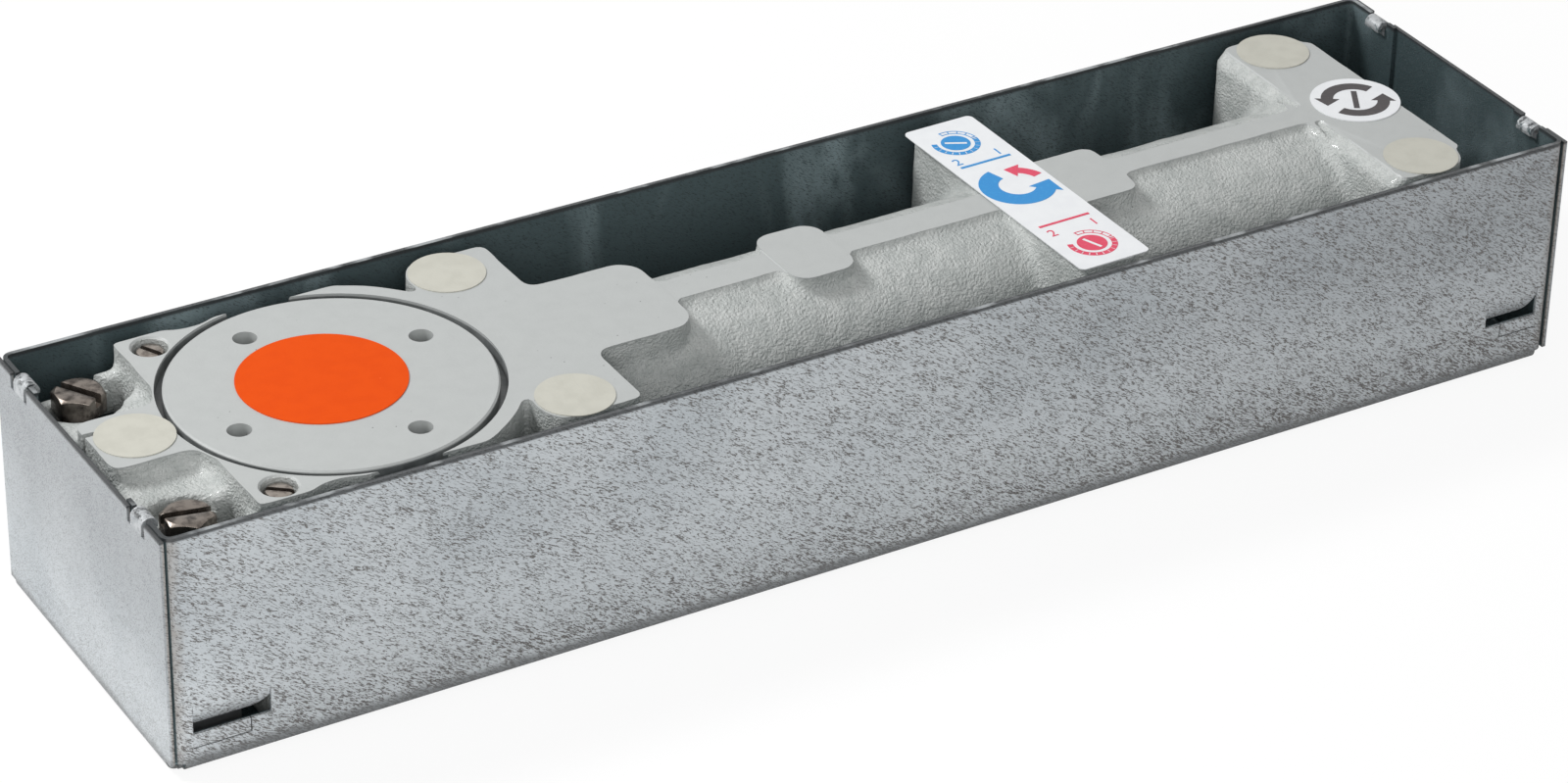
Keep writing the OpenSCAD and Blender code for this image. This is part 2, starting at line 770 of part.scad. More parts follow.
module bearing_cover() {
    color([0.79, 0.80, 0.81]) difference() {
        union() {
            translate([0, 0, body_z1 - groove_d]) rotate_extrude($fn = 128) polygon([
                [0, 0], [cover_r, 0], [cover_r, groove_d - 0.4], [cover_r - 0.4, groove_d],
                [0, groove_d]
            ]);
            translate([0, 0, cover_z0]) cylinder(r = neck_r, h = cover_h - groove_d + eps);
        }
        translate([0, 0, cover_z0 - 1]) cylinder(r = spindle_r + 1.5, h = cover_h + 2);
        translate([0, 0, seal_z0 - 0.1]) cylinder(r = seal_r + fit, h = seal_h + 0.2);
        translate([0, 0, cover_z0 - 1]) cylinder(r = race_r + fit, h = race_h + 1.6);
        for (k = [0:3]) rotate([0, 0, spanner_turn + 90 * k])
            translate([spanner_ring, 0, body_z1 - spanner_d])
                cylinder(r = spanner_r, h = spanner_d + 1);
        translate([0, 0, cover_z0 + 4]) tube(neck_r + 1, neck_r - gland_d, gland_w);
    }
}

module cover_seal() {
    color([0.12, 0.12, 0.13]) translate([0, 0, cover_z0 + 4 + gland_w / 2])
        o_ring(neck_r - section_r - fit, section_r);
}

module shaft_seal() {
    color([0.12, 0.12, 0.13]) translate([0, 0, seal_z0]) rotate_extrude() polygon([
        [seal_r, 0], [seal_r, seal_h], [spindle_r + 2, seal_h], [spindle_r + 1, seal_h - 0.8],
        [spindle_r + 2.4, seal_h - 1.6], [spindle_r + 1.6, 1.2], [spindle_r + run, 0.7],
        [spindle_r + 0.8, 0]
    ]);
}

// Ring of a ball bearing with the track that the balls run in
module race(r_out, r_in) {
    difference() {
        tube(r_out, r_in, race_h);
        translate([0, 0, race_h / 2]) o_ring(ball_ring, ball_r + 0.03);
    }
}

module upper_outer_race() {
    color([0.72, 0.73, 0.74]) translate([0, 0, race_z0]) race(race_r, ball_ring + 1.3);
}

module upper_inner_race() {
    color([0.72, 0.73, 0.74]) translate([0, 0, race_z0]) race(ball_ring - 1.3, spindle_r + fit);
}

module upper_balls() {
    color([0.82, 0.83, 0.84]) for (k = [0:ball_count - 1]) rotate([0, 0, 360 / ball_count * k])
        translate([ball_ring, 0, race_z0 + race_h / 2]) sphere(r = ball_r, $fn = 32);
}

module lower_cup() {
    color([0.72, 0.73, 0.74]) translate([0, 0, cup_z0 + cup_clear])
        tube(cup_r, journal_r + 2 * needle_r + 0.15, cup_h);
}

module lower_needles() {
    color([0.82, 0.83, 0.84]) for (k = [0:needle_count - 1])
        rotate([0, 0, 360 / needle_count * k])
            translate([journal_r + needle_r + 0.07, 0, cup_z0 + cup_clear + needle_end_gap])
                cylinder(r = needle_r, h = cup_h - 2 * needle_end_gap, $fn = 24);
}

module thrust_washer() {
    color([0.65, 0.55, 0.35]) translate([0, 0, washer_z0])
        tube(cup_r - 0.2, journal_r + 0.3, washer_t);
}

// Spindle, cam and roller

module cam_spindle() {
    shoulder_z = washer_z0 + washer_t + run;
    cam_z1 = mid_z + cam_t / 2;
    color([0.55, 0.56, 0.58]) difference() {
        union() {
            translate([0, 0, cup_z0 + 0.4]) cylinder(r = journal_r, h = shoulder_z - cup_z0);
            translate([0, 0, shoulder_z]) cylinder(r = seat_r, h = cam_z1 + 0.2 - shoulder_z);
            translate([0, 0, cam_z1 + fit]) cylinder(r = spindle_r, h = spindle_z1 - cam_z1 - fit);
        }
        translate([-socket_w / 2, -socket_w / 2, spindle_z1 - socket_d])
            cube([socket_w, socket_w, socket_d + 1]);
        translate([0, 0, spindle_z1 - socket_d - spindle_thread_len])
            cylinder(r = spindle_thread_r, h = spindle_thread_len + 1);
        translate([-seat_r - 1, -2.5 - fit, mid_z - cam_t / 2 - 0.1])
            cube([3.2, 5 + 2 * fit, cam_t + 0.1]);
        translate([0, 0, mid_z - cam_t / 2 - 1.5]) tube(seat_r + 1, seat_r - 0.8, 1.3);
    }
}

// Distance from the spindle axis to the roller when the cam has turned by a
function trace(a) = roller_x + cam_rate * abs(a);
// Travel of the roller per radian
rate_rad = cam_rate * 180 / PI;
// Direction in which the roller's path runs, for a from 0 up
function trace_dir(a) = [
    rate_rad * cos(a) - trace(a) * sin(a),
    rate_rad * sin(a) + trace(a) * cos(a)
];
// Point of the flank that touches the roller at turn a
function flank(a) = let (d = trace_dir(a), n = [-d.y, d.x] / norm(d))
    trace(a) * [cos(a), sin(a)] + trace_r * n;
// Half of the heart: notch under the roller, rising flank and tip
notch_half = atan(rate_rad / roller_x);
flank_end = 176;
function heart_half() = [
    for (a = [4:4:notch_half]) [roller_x - trace_r * cos(a), trace_r * sin(a)],
    for (a = [0:4:flank_end]) flank(a)
];
// Tip where the two flanks meet
function heart_tip() = let (last = flank(flank_end), dir = trace_dir(flank_end))
    [last.x - last.y * dir.x / dir.y, 0];
function heart_outline() = let (half = heart_half(), n = len(half)) concat(
    [[roller_x - trace_r, 0]], half, [heart_tip()],
    [for (i = [n - 1:-1:0]) [half[i].x, -half[i].y]]
);

module heart_cam() {
    color([0.60, 0.61, 0.63]) difference() {
        translate([0, 0, mid_z - cam_t / 2]) linear_extrude(cam_t) polygon(heart_outline());
        cylinder(r = seat_r + fit, h = body_z1);
        translate([-seat_r - 2.2, -2.5 - fit, 0]) cube([4, 5 + 2 * fit, body_z1]);
    }
}

module cam_key() {
    color([0.45, 0.46, 0.48]) translate([-seat_r - 2, -2.5, mid_z - cam_t / 2])
        cube([4, 5, cam_t]);
}

// Snap ring under the cam, open at the back
module cam_retaining_ring() {
    color([0.30, 0.30, 0.32]) difference() {
        translate([0, 0, mid_z - cam_t / 2 - 1.4]) tube(seat_r + 1.6, seat_r - 0.7, 1.2);
        translate([-20, -2.5, 0]) cube([20, 5, body_z1]);
    }
}

module cam_roller() {
    color([0.75, 0.76, 0.78]) translate([roller_x, 0, mid_z - cam_t / 2 + 0.2])
        tube(roller_r, pin_r + run, cam_t - 0.4);
}

module roller_pin() {
    color([0.60, 0.61, 0.63]) translate([roller_x, 0, mid_z - cheek_z])
        cylinder(r = pin_r, h = 2 * cheek_z);
}

// Piston and check valve

// Cheeks of the fork, seen from above
module fork_outline() {
    nose = 7;
    translate([roller_x, 0]) circle(r = nose);
    polygon([
        [roller_x, -nose], [crown_x - 3, -fork_half], [crown_x + 1, -fork_half],
        [crown_x + 1, fork_half], [crown_x - 3, fork_half], [roller_x, nose]
    ]);
}

module piston() {
    skirt_r = bore_r - run;
    color([0.58, 0.60, 0.62]) difference() {
        union() {
            rod_x(crown_x, skirt_r, piston_len);
            rod_x(skirt_x1 - eps, spigot_r, spigot_len + eps);
            for (z = [-cheek_z, slot_half]) translate([0, 0, mid_z + z])
                linear_extrude(cheek_t) fork_outline();
        }
        translate([roller_x, 0, 0]) cylinder(r = pin_r + fit, h = body_z1);
        difference() {
            rod_x(ring_x, bore_r + 1, 2.5);
            rod_x(ring_x - 1, bore_r - 2, 5);
        }
        rod_x(crown_x - 1, check_hole_r, piston_len + spigot_len + 2);
        rod_x(crown_x - 1, check_bore_r, check_seat_x - crown_x + 1);
    }
}

module piston_ring() {
    color([0.20, 0.20, 0.21]) difference() {
        rod_x(ring_x + 0.1, bore_r - 0.02, 2.3);
        rod_x(ring_x - 1, bore_r - 1.9, 5);
    }
}

module check_ball() {
    color([0.82, 0.83, 0.84]) translate([check_ball_x, 0, mid_z])
        sphere(r = check_ball_r, $fn = 32);
}

// Star washer that keeps the ball in and lets the oil pass round it
module check_retainer() {
    color([0.60, 0.61, 0.63]) difference() {
        rod_x(crown_x + 0.4, check_bore_r - fit, check_retainer_t);
        rod_x(crown_x, 1.4, check_retainer_t + 2);
        for (k = [0:2]) translate([crown_x, 0, mid_z]) rotate([120 * k, 0, 0])
            translate([0, -0.6, 0]) cube([check_retainer_t + 2, 1.2, check_ball_r - 0.2]);
    }
}

// Main spring

rings_per_turn = 18;
wire_sides = 8;
wire_gap = 0.1;
// Share of the length reached after a share of the turns: closed ends, open middle
closed = 0.75 / spring_turns;
closed_rise = 2 * wire_r * 0.75 / (spring_len - 2 * wire_r - 2 * wire_gap);
function rise(s) = s < closed ? closed_rise * s / closed
    : s > 1 - closed ? 1 - closed_rise * (1 - s) / closed
    : closed_rise + (1 - 2 * closed_rise) * (s - closed) / (1 - 2 * closed);
function coil_point(s, side) = let (
        a = 360 * spring_turns * s,
        b = 360 / wire_sides * side,
        r = coil_r + wire_r * cos(b)
    ) [
        skirt_x1 + wire_r + wire_gap
            + (spring_len - 2 * wire_r - 2 * wire_gap) * rise(s) + wire_r * sin(b),
        r * cos(a),
        mid_z + r * sin(a)
    ];

module main_spring() {
    n = rings_per_turn * spring_turns;
    m = wire_sides;
    color([0.34, 0.36, 0.38]) polyhedron(
        points = [for (i = [0:n], j = [0:m - 1]) coil_point(i / n, j)],
        faces = concat(
            [[for (j = [0:m - 1]) j]],
            [for (i = [0:n - 1], j = [0:m - 1])
                [i * m + j, (i + 1) * m + j, (i + 1) * m + (j + 1) % m, i * m + (j + 1) % m]],
            [[for (j = [m - 1:-1:0]) n * m + j]]
        )
    );
}

// Spring seat: a nut that travels on the captive adjusting screw
module spring_seat() {
    color([0.58, 0.60, 0.62]) difference() {
        union() {
            rod_x(seat_x, bore_r - run, seat_t);
            rod_x(seat_x - spigot_len, spigot_r, spigot_len + 1);
        }
        rod_x(seat_x - spigot_len - 1, adjuster_r + run, seat_t + spigot_len + 2);
    }
}

module force_adjuster() {
    shank_end = plug_x - collar_t - fit;
    color([0.40, 0.41, 0.43]) difference() {
        union() {
            rod_x(adjuster_x0, adjuster_r, body_x1 - 1 - adjuster_x0);
            rod_x(shank_end, adjuster_r + 3.5, collar_t);
        }
        translate([body_x1 - 9, 0, mid_z]) rotate([0, 90, 0])
            cylinder(r = 4.6, h = 10, $fn = 6);
        difference() {
            rod_x(plug_x + plug_len / 2 - 1.3, adjuster_r + 1, 2.6);
            rod_x(plug_x + plug_len / 2 - 2, adjuster_r - 1.5, 4);
        }
    }
}

module adjuster_seal() {
    color([0.12, 0.12, 0.13]) translate([plug_x + plug_len / 2, 0, mid_z]) rotate([0, 90, 0])
        o_ring(adjuster_r - 0.72, 0.75);
}

module end_plug() {
    color([0.55, 0.56, 0.58]) difference() {
        rod_x(plug_x, plug_r, plug_len);
        rod_x(plug_x - 1, adjuster_r + run, plug_len + 2);
        both_sides() translate([body_x1 - 5, plug_r - 7, mid_z]) rotate([0, 90, 0])
            cylinder(r = 2.5, h = 6);
        translate([plug_x + 4, 0, mid_z]) rotate([0, 90, 0])
            tube(plug_r + 1, plug_r - gland_d, gland_w);
    }
}

module end_plug_seal() {
    color([0.12, 0.12, 0.13]) translate([plug_x + 4 + gland_w / 2, 0, mid_z]) rotate([0, 90, 0])
        o_ring(plug_r - section_r - fit, section_r);
}

// Valves

// Valve screw with a driver slot, a seal groove and a needle point: side is 1 or -1 along Y
module valve_screw(side) {
    translate([valve_x, side * valve_y, 0]) difference() {
        translate([0, 0, valve_z0]) rotate_extrude() polygon([
            [0, -4], [0.6, -4], [2.2, 0], [valve_r, 0.6], [valve_r, valve_len - 0.5],
            [valve_r - 0.5, valve_len], [0, valve_len]
        ]);
        driver_slot(valve_z1, 1.4, 2, valve_r + 1, valve_turn);
        translate([0, 0, valve_z0 + 6]) tube(valve_r + 1, valve_r - 1.4, 2.3);
    }
}

module valve_seal(side) {
    color([0.12, 0.12, 0.13]) translate([valve_x, side * valve_y, valve_z0 + 7.15])
        o_ring(valve_r - 0.68, 0.7);
}

module closing_valve() {
    color([0.72, 0.62, 0.38]) valve_screw(1);
}

module latch_valve() {
    color([0.72, 0.62, 0.38]) valve_screw(-1);
}

module closing_valve_seal() {
    valve_seal(1);
}

module latch_valve_seal() {
    valve_seal(-1);
}

module channel_plugs() {
    color([0.62, 0.63, 0.64]) both_sides() translate([valve_x, half_w - 3.9, channel_z])
        rotate([-90, 0, 0]) cylinder(r = channel_plug_r, h = 3.7);
}

// Levelling screws stand on the floor of the box
module level_screw(side) {
    top = body_z1 - 3;
    color([0.36, 0.31, 0.28]) translate([-level_x, side * level_y, 0]) difference() {
        translate([0, 0, sheet]) rotate_extrude() polygon([
            [0, 0], [level_r - 1.2, 0], [level_r, 1.2], [level_r, top - sheet - 0.8],
            [level_r - 0.8, top - sheet], [0, top - sheet]
        ]);
        driver_slot(top, 1.3, 2.2, level_r + 1, 12);
    }
}

module level_screw_front() {
    level_screw(-1);
}

module level_screw_rear() {
    level_screw(1);
}

// Labels

module spindle_label() {
    color([0.94, 0.36, 0.11]) translate([-1.3, 2.2, body_z1])
        cylinder(r = spindle_label_r, h = label_t, $fn = 96);
}

module hole_labels() {
    color([0.86, 0.86, 0.82]) for (p = plate_holes()) translate([p.x, p.y, body_z1])
        cylinder(r = hole_label_r, h = label_t);
}

module valve_label() {
    color([0.93, 0.94, 0.95]) translate([valve_x + 0.4, 0, body_z1])
        rotate([0, 0, 90 + valve_label_turn]) linear_extrude(label_t)
            round_rect(-valve_label_len / 2, valve_label_len / 2, valve_label_w / 2, 1.5);
}

module direction_label() {
    color([0.93, 0.93, 0.95]) translate([body_x1 - direction_label_inset, 0, body_z1])
        cylinder(r = direction_label_r, h = label_t);
}

cement_box();
fixing_bar();
fixing_bolts();
closer_body();
bearing_cover();
cover_seal();
shaft_seal();
upper_outer_race();
upper_inner_race();
upper_balls();
lower_cup();
lower_needles();
thrust_washer();
cam_spindle();
heart_cam();
cam_key();
cam_retaining_ring();
cam_roller();
roller_pin();
piston();
piston_ring();
check_ball();
check_retainer();
main_spring();
spring_seat();
force_adjuster();
adjuster_seal();
end_plug();
end_plug_seal();
closing_valve();
latch_valve();
closing_valve_seal();
latch_valve_seal();
channel_plugs();
level_screw_front();
level_screw_rear();
spindle_label();
hole_labels();
valve_label();
direction_label();
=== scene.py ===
import bpy
import math
from mathutils import Matrix, Vector


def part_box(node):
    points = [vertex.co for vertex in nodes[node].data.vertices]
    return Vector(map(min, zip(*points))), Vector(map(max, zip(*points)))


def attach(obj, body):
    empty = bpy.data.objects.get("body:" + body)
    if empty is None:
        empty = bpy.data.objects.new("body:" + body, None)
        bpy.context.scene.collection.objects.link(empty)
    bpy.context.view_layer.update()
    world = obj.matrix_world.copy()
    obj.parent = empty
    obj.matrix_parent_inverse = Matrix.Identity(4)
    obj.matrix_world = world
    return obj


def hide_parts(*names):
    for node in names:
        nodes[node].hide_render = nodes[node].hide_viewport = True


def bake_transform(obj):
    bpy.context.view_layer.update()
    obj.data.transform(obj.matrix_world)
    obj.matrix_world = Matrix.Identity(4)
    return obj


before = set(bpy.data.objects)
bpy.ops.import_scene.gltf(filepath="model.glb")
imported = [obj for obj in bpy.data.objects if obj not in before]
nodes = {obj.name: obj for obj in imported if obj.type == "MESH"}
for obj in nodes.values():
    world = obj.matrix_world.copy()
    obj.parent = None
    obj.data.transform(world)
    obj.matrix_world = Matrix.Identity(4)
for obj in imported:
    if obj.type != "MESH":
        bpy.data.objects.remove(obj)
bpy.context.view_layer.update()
print("frame loaded:", len(nodes), "nodes")


# colours and node helpers

def linear(red, green, blue):
    def one(value):
        value = value / 255
        return value / 12.92 if value <= 0.04045 else ((value + 0.055) / 1.055) ** 2.4
    return (one(red), one(green), one(blue), 1)


class Finish:
    # one procedural material, with short names for the nodes it is wired from
    def __init__(self, name, roughness, metallic=0.0, coat=0.0):
        self.material = bpy.data.materials.new(name)
        self.material.use_nodes = True
        self.tree = self.material.node_tree
        self.shader = self.tree.nodes["Principled BSDF"]
        self.shader.inputs["Roughness"].default_value = roughness
        self.shader.inputs["Metallic"].default_value = metallic
        self.shader.inputs["Coat Weight"].default_value = coat
        self.coords = self.tree.nodes.new("ShaderNodeTexCoord").outputs["Object"]
        self.axes = None

    def wire(self, value, socket):
        if isinstance(value, (int, float, tuple)):
            socket.default_value = value
        else:
            self.tree.links.new(value, socket)

    def sum(self, operation, first, second=0.0):
        node = self.tree.nodes.new("ShaderNodeMath")
        node.operation = operation
        self.wire(first, node.inputs[0])
        self.wire(second, node.inputs[1])
        return node.outputs[0]

    def times(self, first, second):
        return self.sum("MULTIPLY", first, second)

    def plus(self, first, second):
        return self.sum("ADD", first, second)

    def minus(self, first, second):
        return self.sum("SUBTRACT", first, second)

    def place(self, axis):
        if self.axes is None:
            node = self.tree.nodes.new("ShaderNodeSeparateXYZ")
            self.tree.links.new(self.coords, node.inputs[0])
            self.axes = node.outputs
        return self.axes["XYZ".index(axis)]

    def turned(self, turn=(0, 0, 0), scale=(1, 1, 1)):
        # a pattern turned first, then drawn finer along its own axes
        node = self.tree.nodes.new("ShaderNodeMapping")
        node.vector_type = "TEXTURE"
        node.inputs["Rotation"].default_value = [math.radians(a) for a in turn]
        node.inputs["Scale"].default_value = [1 / value for value in scale]
        self.tree.links.new(self.coords, node.inputs["Vector"])
        return node.outputs[0]

    def noise(self, scale, detail=2.0, rough=0.5, vector=None, curl=0.0):
        node = self.tree.nodes.new("ShaderNodeTexNoise")
        node.inputs["Distortion"].default_value = curl
        node.inputs["Scale"].default_value = scale
        node.inputs["Detail"].default_value = detail
        node.inputs["Roughness"].default_value = rough
        self.tree.links.new(vector or self.coords, node.inputs["Vector"])
        return node.outputs["Fac"]

    def cells(self, scale):
        node = self.tree.nodes.new("ShaderNodeTexVoronoi")
        node.inputs["Scale"].default_value = scale
        self.tree.links.new(self.coords, node.inputs["Vector"])
        return node.outputs["Distance"]

    def between(self, value, low, high):
        # 0 under low, 1 over high, smooth between them
        node = self.tree.nodes.new("ShaderNodeMapRange")
        node.interpolation_type = "SMOOTHSTEP"
        self.wire(value, node.inputs["Value"])
        node.inputs["From Min"].default_value = low
        node.inputs["From Max"].default_value = high
        return node.outputs["Result"]

    def mix(self, share, first, second):
        node = self.tree.nodes.new("ShaderNodeMix")
        node.data_type = "RGBA"
        self.wire(share, node.inputs[0])
        self.wire(first, node.inputs[6])
        self.wire(second, node.inputs[7])
        return node.outputs[2]

    def colour(self, value):
        self.wire(value, self.shader.inputs["Base Color"])

    def rough(self, value):
        self.wire(value, self.shader.inputs["Roughness"])

    def bump(self, height, distance):
        node = self.tree.nodes.new("ShaderNodeBump")
        node.inputs["Distance"].default_value = distance
        node.inputs["Strength"].default_value = 1.0
        self.wire(height, node.inputs["Height"])
        self.tree.links.new(node.outputs[0], self.shader.inputs["Normal"])

    def on(self, *names):
        for name in names:
            dress(nodes[name], self.material)


def dress(piece, material):
    piece.data.materials.clear()
    piece.data.materials.append(material)


# finishes of the box and the casting

sheetLook = {
    "pale": linear(181, 186, 189), "cloud": linear(168, 174, 178), "fleck": linear(92, 88, 85),
    # painted shade at the foot bend, a painted glint on the rim top, and the dark rim
    "bend": linear(116, 118, 119), "edge": linear(150, 154, 156), "edgeDark": linear(48, 50, 52),
    # stains, painted shade at the top of the end walls, and the curls
    "stain": linear(138, 131, 124), "endPaintedShade": linear(138, 142, 145), "curl": linear(172, 175, 177),
    # painted shade towards the right end, and painted light low on the side walls
    "farPaintedShade": linear(130, 135, 139), "lowPaintedLight": linear(210, 215, 218),
    # inner faces: painted shade, with painted reflections and flecks in painted shade
    "inside": linear(70, 85, 88), "insidePaintedReflection": linear(140, 157, 161),
    "insidePaintedShadeFleck": linear(34, 41, 43),
    # flecks: lean in degrees, fineness along, across and up, where they start and are full
    "fleckTurn": 33, "fleckSize": (860, 2450, 3900), "fleckFrom": 0.526, "fleckTo": 0.604,
    "fleckShare": 0.92, "endFleckLess": 0.5, "insideFleckShare": 0.6,
    # what gathers the flecks: clusters, chains, the foot of the box and its right end
    "clusterSize": 75, "clusterLift": 0.045, "chainSize": (160, 420, 560), "chainLift": 0.12,
    "footLift": 0.050, "footFrom": (0.020, 0.001), "rightLift": 0.014, "rightFrom": (0.06, 0.26),
    # clouds of the outside, painted shade towards the right end and at the top of the end walls, painted
    # light low on the side walls, stains, painted shade at the foot bend, painted shade with painted
    # reflections inside, the dark rim with painted glints on it, and scratches: fineness of the noise,
    # heights or lengths, share
    "cloudSize": 26, "farFrom": (0.08, 0.33), "farShare": 0.6, "lowFrom": (0.046, 0.014),
    "lowShare": 0.55, "endCloudSize": 45, "endCloudLift": 0.02, "endShadeFrom": (0.016, 0.060),
    "endShadeShare": 0.8, "stainSize": 260, "stainWave": 0.006, "stainShare": 0.75,
    "bendSize": 160, "bendShare": 0.8, "insideSize": (40, 40, 17), "insideFrom": (0.45, 0.72),
    "insideShare": 0.7, "rimShare": 0.9, "shineSize": 90, "shineFrom": (0.52, 0.66),
    "scratchSize": 520, "scratchFrom": (0.36, 0.56),
    # surface: roughness, and fine and wide dents
    "smooth": 0.24, "cloudRough": 0.24, "fleckRough": 0.2, "dentSize": 800, "dentShare": 0.6,
    "waveSize": 30, "waveShare": 9.0, "fleckDepth": 0.6, "depth": 0.00006,
    # places on the box: middle of its length, inner faces, and distances from the middle
    "middle": 0.1235, "halfWidth": 0.0428, "leftEnd": -0.0602, "rightEnd": 0.3072, "floorTop": 0.0008,
    "endWall": (0.1838, 0.1842), "stainFrom": (0.1825, 0.1868),
    "curlAcross": 0.031, "curlSide": (0.0031, 0.0027), "curlFoot": (0.0560, 0.0564),
    "curlFrom": (0.1796, 0.1800), "bendTop": (0.0036, 0.0012), "bendWave": -0.0022,
    "rim": (0.0587, 0.0594), "rimTop": (0.05985, 0.05995),
}


def sheetFinish(name, withPaintedInsideShade=True):
    look = sheetLook
    f = Finish(name, 0.42, metallic=0.35)
    length, height = f.place("X"), f.place("Z")
    lean = (0, look["fleckTurn"], 0)
    strokes = f.noise(1.0, 4, 0.66, f.turned(lean, look["fleckSize"]), 0.5)
    clusters = f.times(f.minus(f.noise(look["clusterSize"], 3), 0.5), look["clusterLift"])
    chains = f.minus(f.noise(1.0, 2, 0.5, f.turned(lean, look["chainSize"])), 0.5)
    chains = f.times(chains, look["chainLift"])
    low = f.times(f.between(height, *look["footFrom"]), look["footLift"])
    right = f.times(f.between(length, *look["rightFrom"]), look["rightLift"])
    lift = f.plus(f.plus(low, right), f.plus(clusters, chains))
    fleck = f.between(f.plus(strokes, lift), look["fleckFrom"], look["fleckTo"])
    fromMiddle = f.sum("ABSOLUTE", f.minus(length, look["middle"]))
    endWall = f.between(fromMiddle, *look["endWall"])
    fleckShare = f.minus(look["fleckShare"], f.times(endWall, look["endFleckLess"]))
    soft = f.noise(look["cloudSize"], 4)
    outside = f.mix(f.between(soft, 0.35, 0.7), look["pale"], look["cloud"])
    # painted shade: the outside sheet grows darker towards the right end of the box
    far = f.times(f.between(length, *look["farFrom"]), look["farShare"])
    outside = f.mix(far, outside, look["farPaintedShade"])
    # painted light: the side walls grow lighter towards the foot of the box
    sideWall = f.minus(look["lowShare"], f.times(endWall, look["lowShare"]))
    light = f.times(f.between(height, *look["lowFrom"]), sideWall)
    outside = f.mix(light, outside, look["lowPaintedLight"])
    # painted shade: the end walls grow darker towards their top
    cloudy = f.plus(height, f.times(f.noise(look["endCloudSize"], 2), look["endCloudLift"]))
    shade = f.times(f.between(cloudy, *look["endShadeFrom"]), look["endShadeShare"])
    outside = f.mix(f.times(shade, endWall), outside, look["endPaintedShade"])
    worn = f.plus(fromMiddle, f.times(f.noise(look["stainSize"], 4, 0.65), look["stainWave"]))
    stainShare = f.minus(look["stainShare"], f.times(endWall, look["stainShare"]))
    stain = f.times(f.between(worn, *look["stainFrom"]), stainShare)
    outside = f.mix(stain, outside, look["stain"])
    outside = f.mix(f.times(fleck, fleckShare), outside, look["fleck"])
    # painted shade along the bend at the foot of the box, darker towards the floor
    fold = f.plus(height, f.times(f.noise(look["bendSize"], 4), look["bendWave"]))
    bend = f.times(f.between(fold, *look["bendTop"]), look["bendShare"])
    sheet = f.mix(bend, outside, look["bend"])
    if withPaintedInsideShade:
        # inner faces of the box in painted shade: a darker copy of the sheet, with streaky painted
        # reflections and darker flecks
        clouds = f.noise(1.0, 3, 0.55, f.turned(scale=look["insideSize"]), 0.6)
        clouds = f.times(f.between(clouds, *look["insideFrom"]), look["insideShare"])
        inside = f.mix(clouds, look["inside"], look["insidePaintedReflection"])
        inside = f.mix(f.times(fleck, look["insideFleckShare"]), inside, look["insidePaintedShadeFleck"])
        inner = f.sum("LESS_THAN", f.sum("ABSOLUTE", f.place("Y")), look["halfWidth"])
        inner = f.times(inner, f.sum("GREATER_THAN", length, look["leftEnd"]))
        inner = f.times(inner, f.sum("LESS_THAN", length, look["rightEnd"]))
        inner = f.times(inner, f.sum("GREATER_THAN", height, look["floorTop"]))
        sheet = f.mix(inner, sheet, inside)
    rim = f.times(f.between(height, *look["rim"]), look["rimShare"])
    sheet = f.mix(rim, sheet, look["edgeDark"])
    # painted glints in patches along the top of the rim
    paintedGlint = f.between(f.noise(look["shineSize"], 3), *look["shineFrom"])
    sheet = f.mix(f.times(f.between(height, *look["rimTop"]), paintedGlint), sheet, look["edge"])
    across = f.sum("ABSOLUTE", f.minus(f.sum("ABSOLUTE", f.place("Y")), look["curlAcross"]))
    curl = f.times(f.between(across, *look["curlSide"]), f.between(height, *look["curlFoot"]))
    curl = f.times(curl, f.between(fromMiddle, *look["curlFrom"]))
    scratches = f.between(f.noise(look["scratchSize"], 4, 0.7), *look["scratchFrom"])
    f.colour(f.mix(f.times(curl, scratches), sheet, look["curl"]))
    smooth = f.plus(f.times(soft, look["cloudRough"]), look["smooth"])
    f.rough(f.plus(smooth, f.times(fleck, look["fleckRough"])))
    dents = f.plus(f.times(f.noise(look["dentSize"], 3), look["dentShare"]),
                   f.times(f.noise(look["waveSize"], 2), look["waveShare"]))
    f.bump(f.minus(dents, f.times(fleck, look["fleckDepth"])), look["depth"])
    return f.material


castLook = {
    "paint": linear(168, 171, 170), "shade": linear(157, 160, 159),
    "rough": linear(183, 186, 184), "roughShade": linear(168, 172, 170),
    "pit": linear(92, 93, 92), "groove": linear(74, 78, 79),
    # the cover's seat is turned smooth, with painted shade in the groove between the two radii below the
    # top
    "turnedRadius": 0.0392, "grooveRadius": 0.0366, "grooveTop": 0.0578,
    "grooveLeast": 0.35, "grooveMottle": 0.8, "shadeShare": 0.35,
    # fineness of the noises, size of the pits in a cell, and depth of the grain
    "mottleSize": 240, "pitCells": 330, "pitSize": (0.075, 0.04), "pitGroups": 60,
    "pitFrom": (0.52, 0.6), "grainSize": 1500, "coarseSize": 800, "coarseShare": 0.5,
    "milledShare": 0.95, "grainDepth": 0.00062,
}


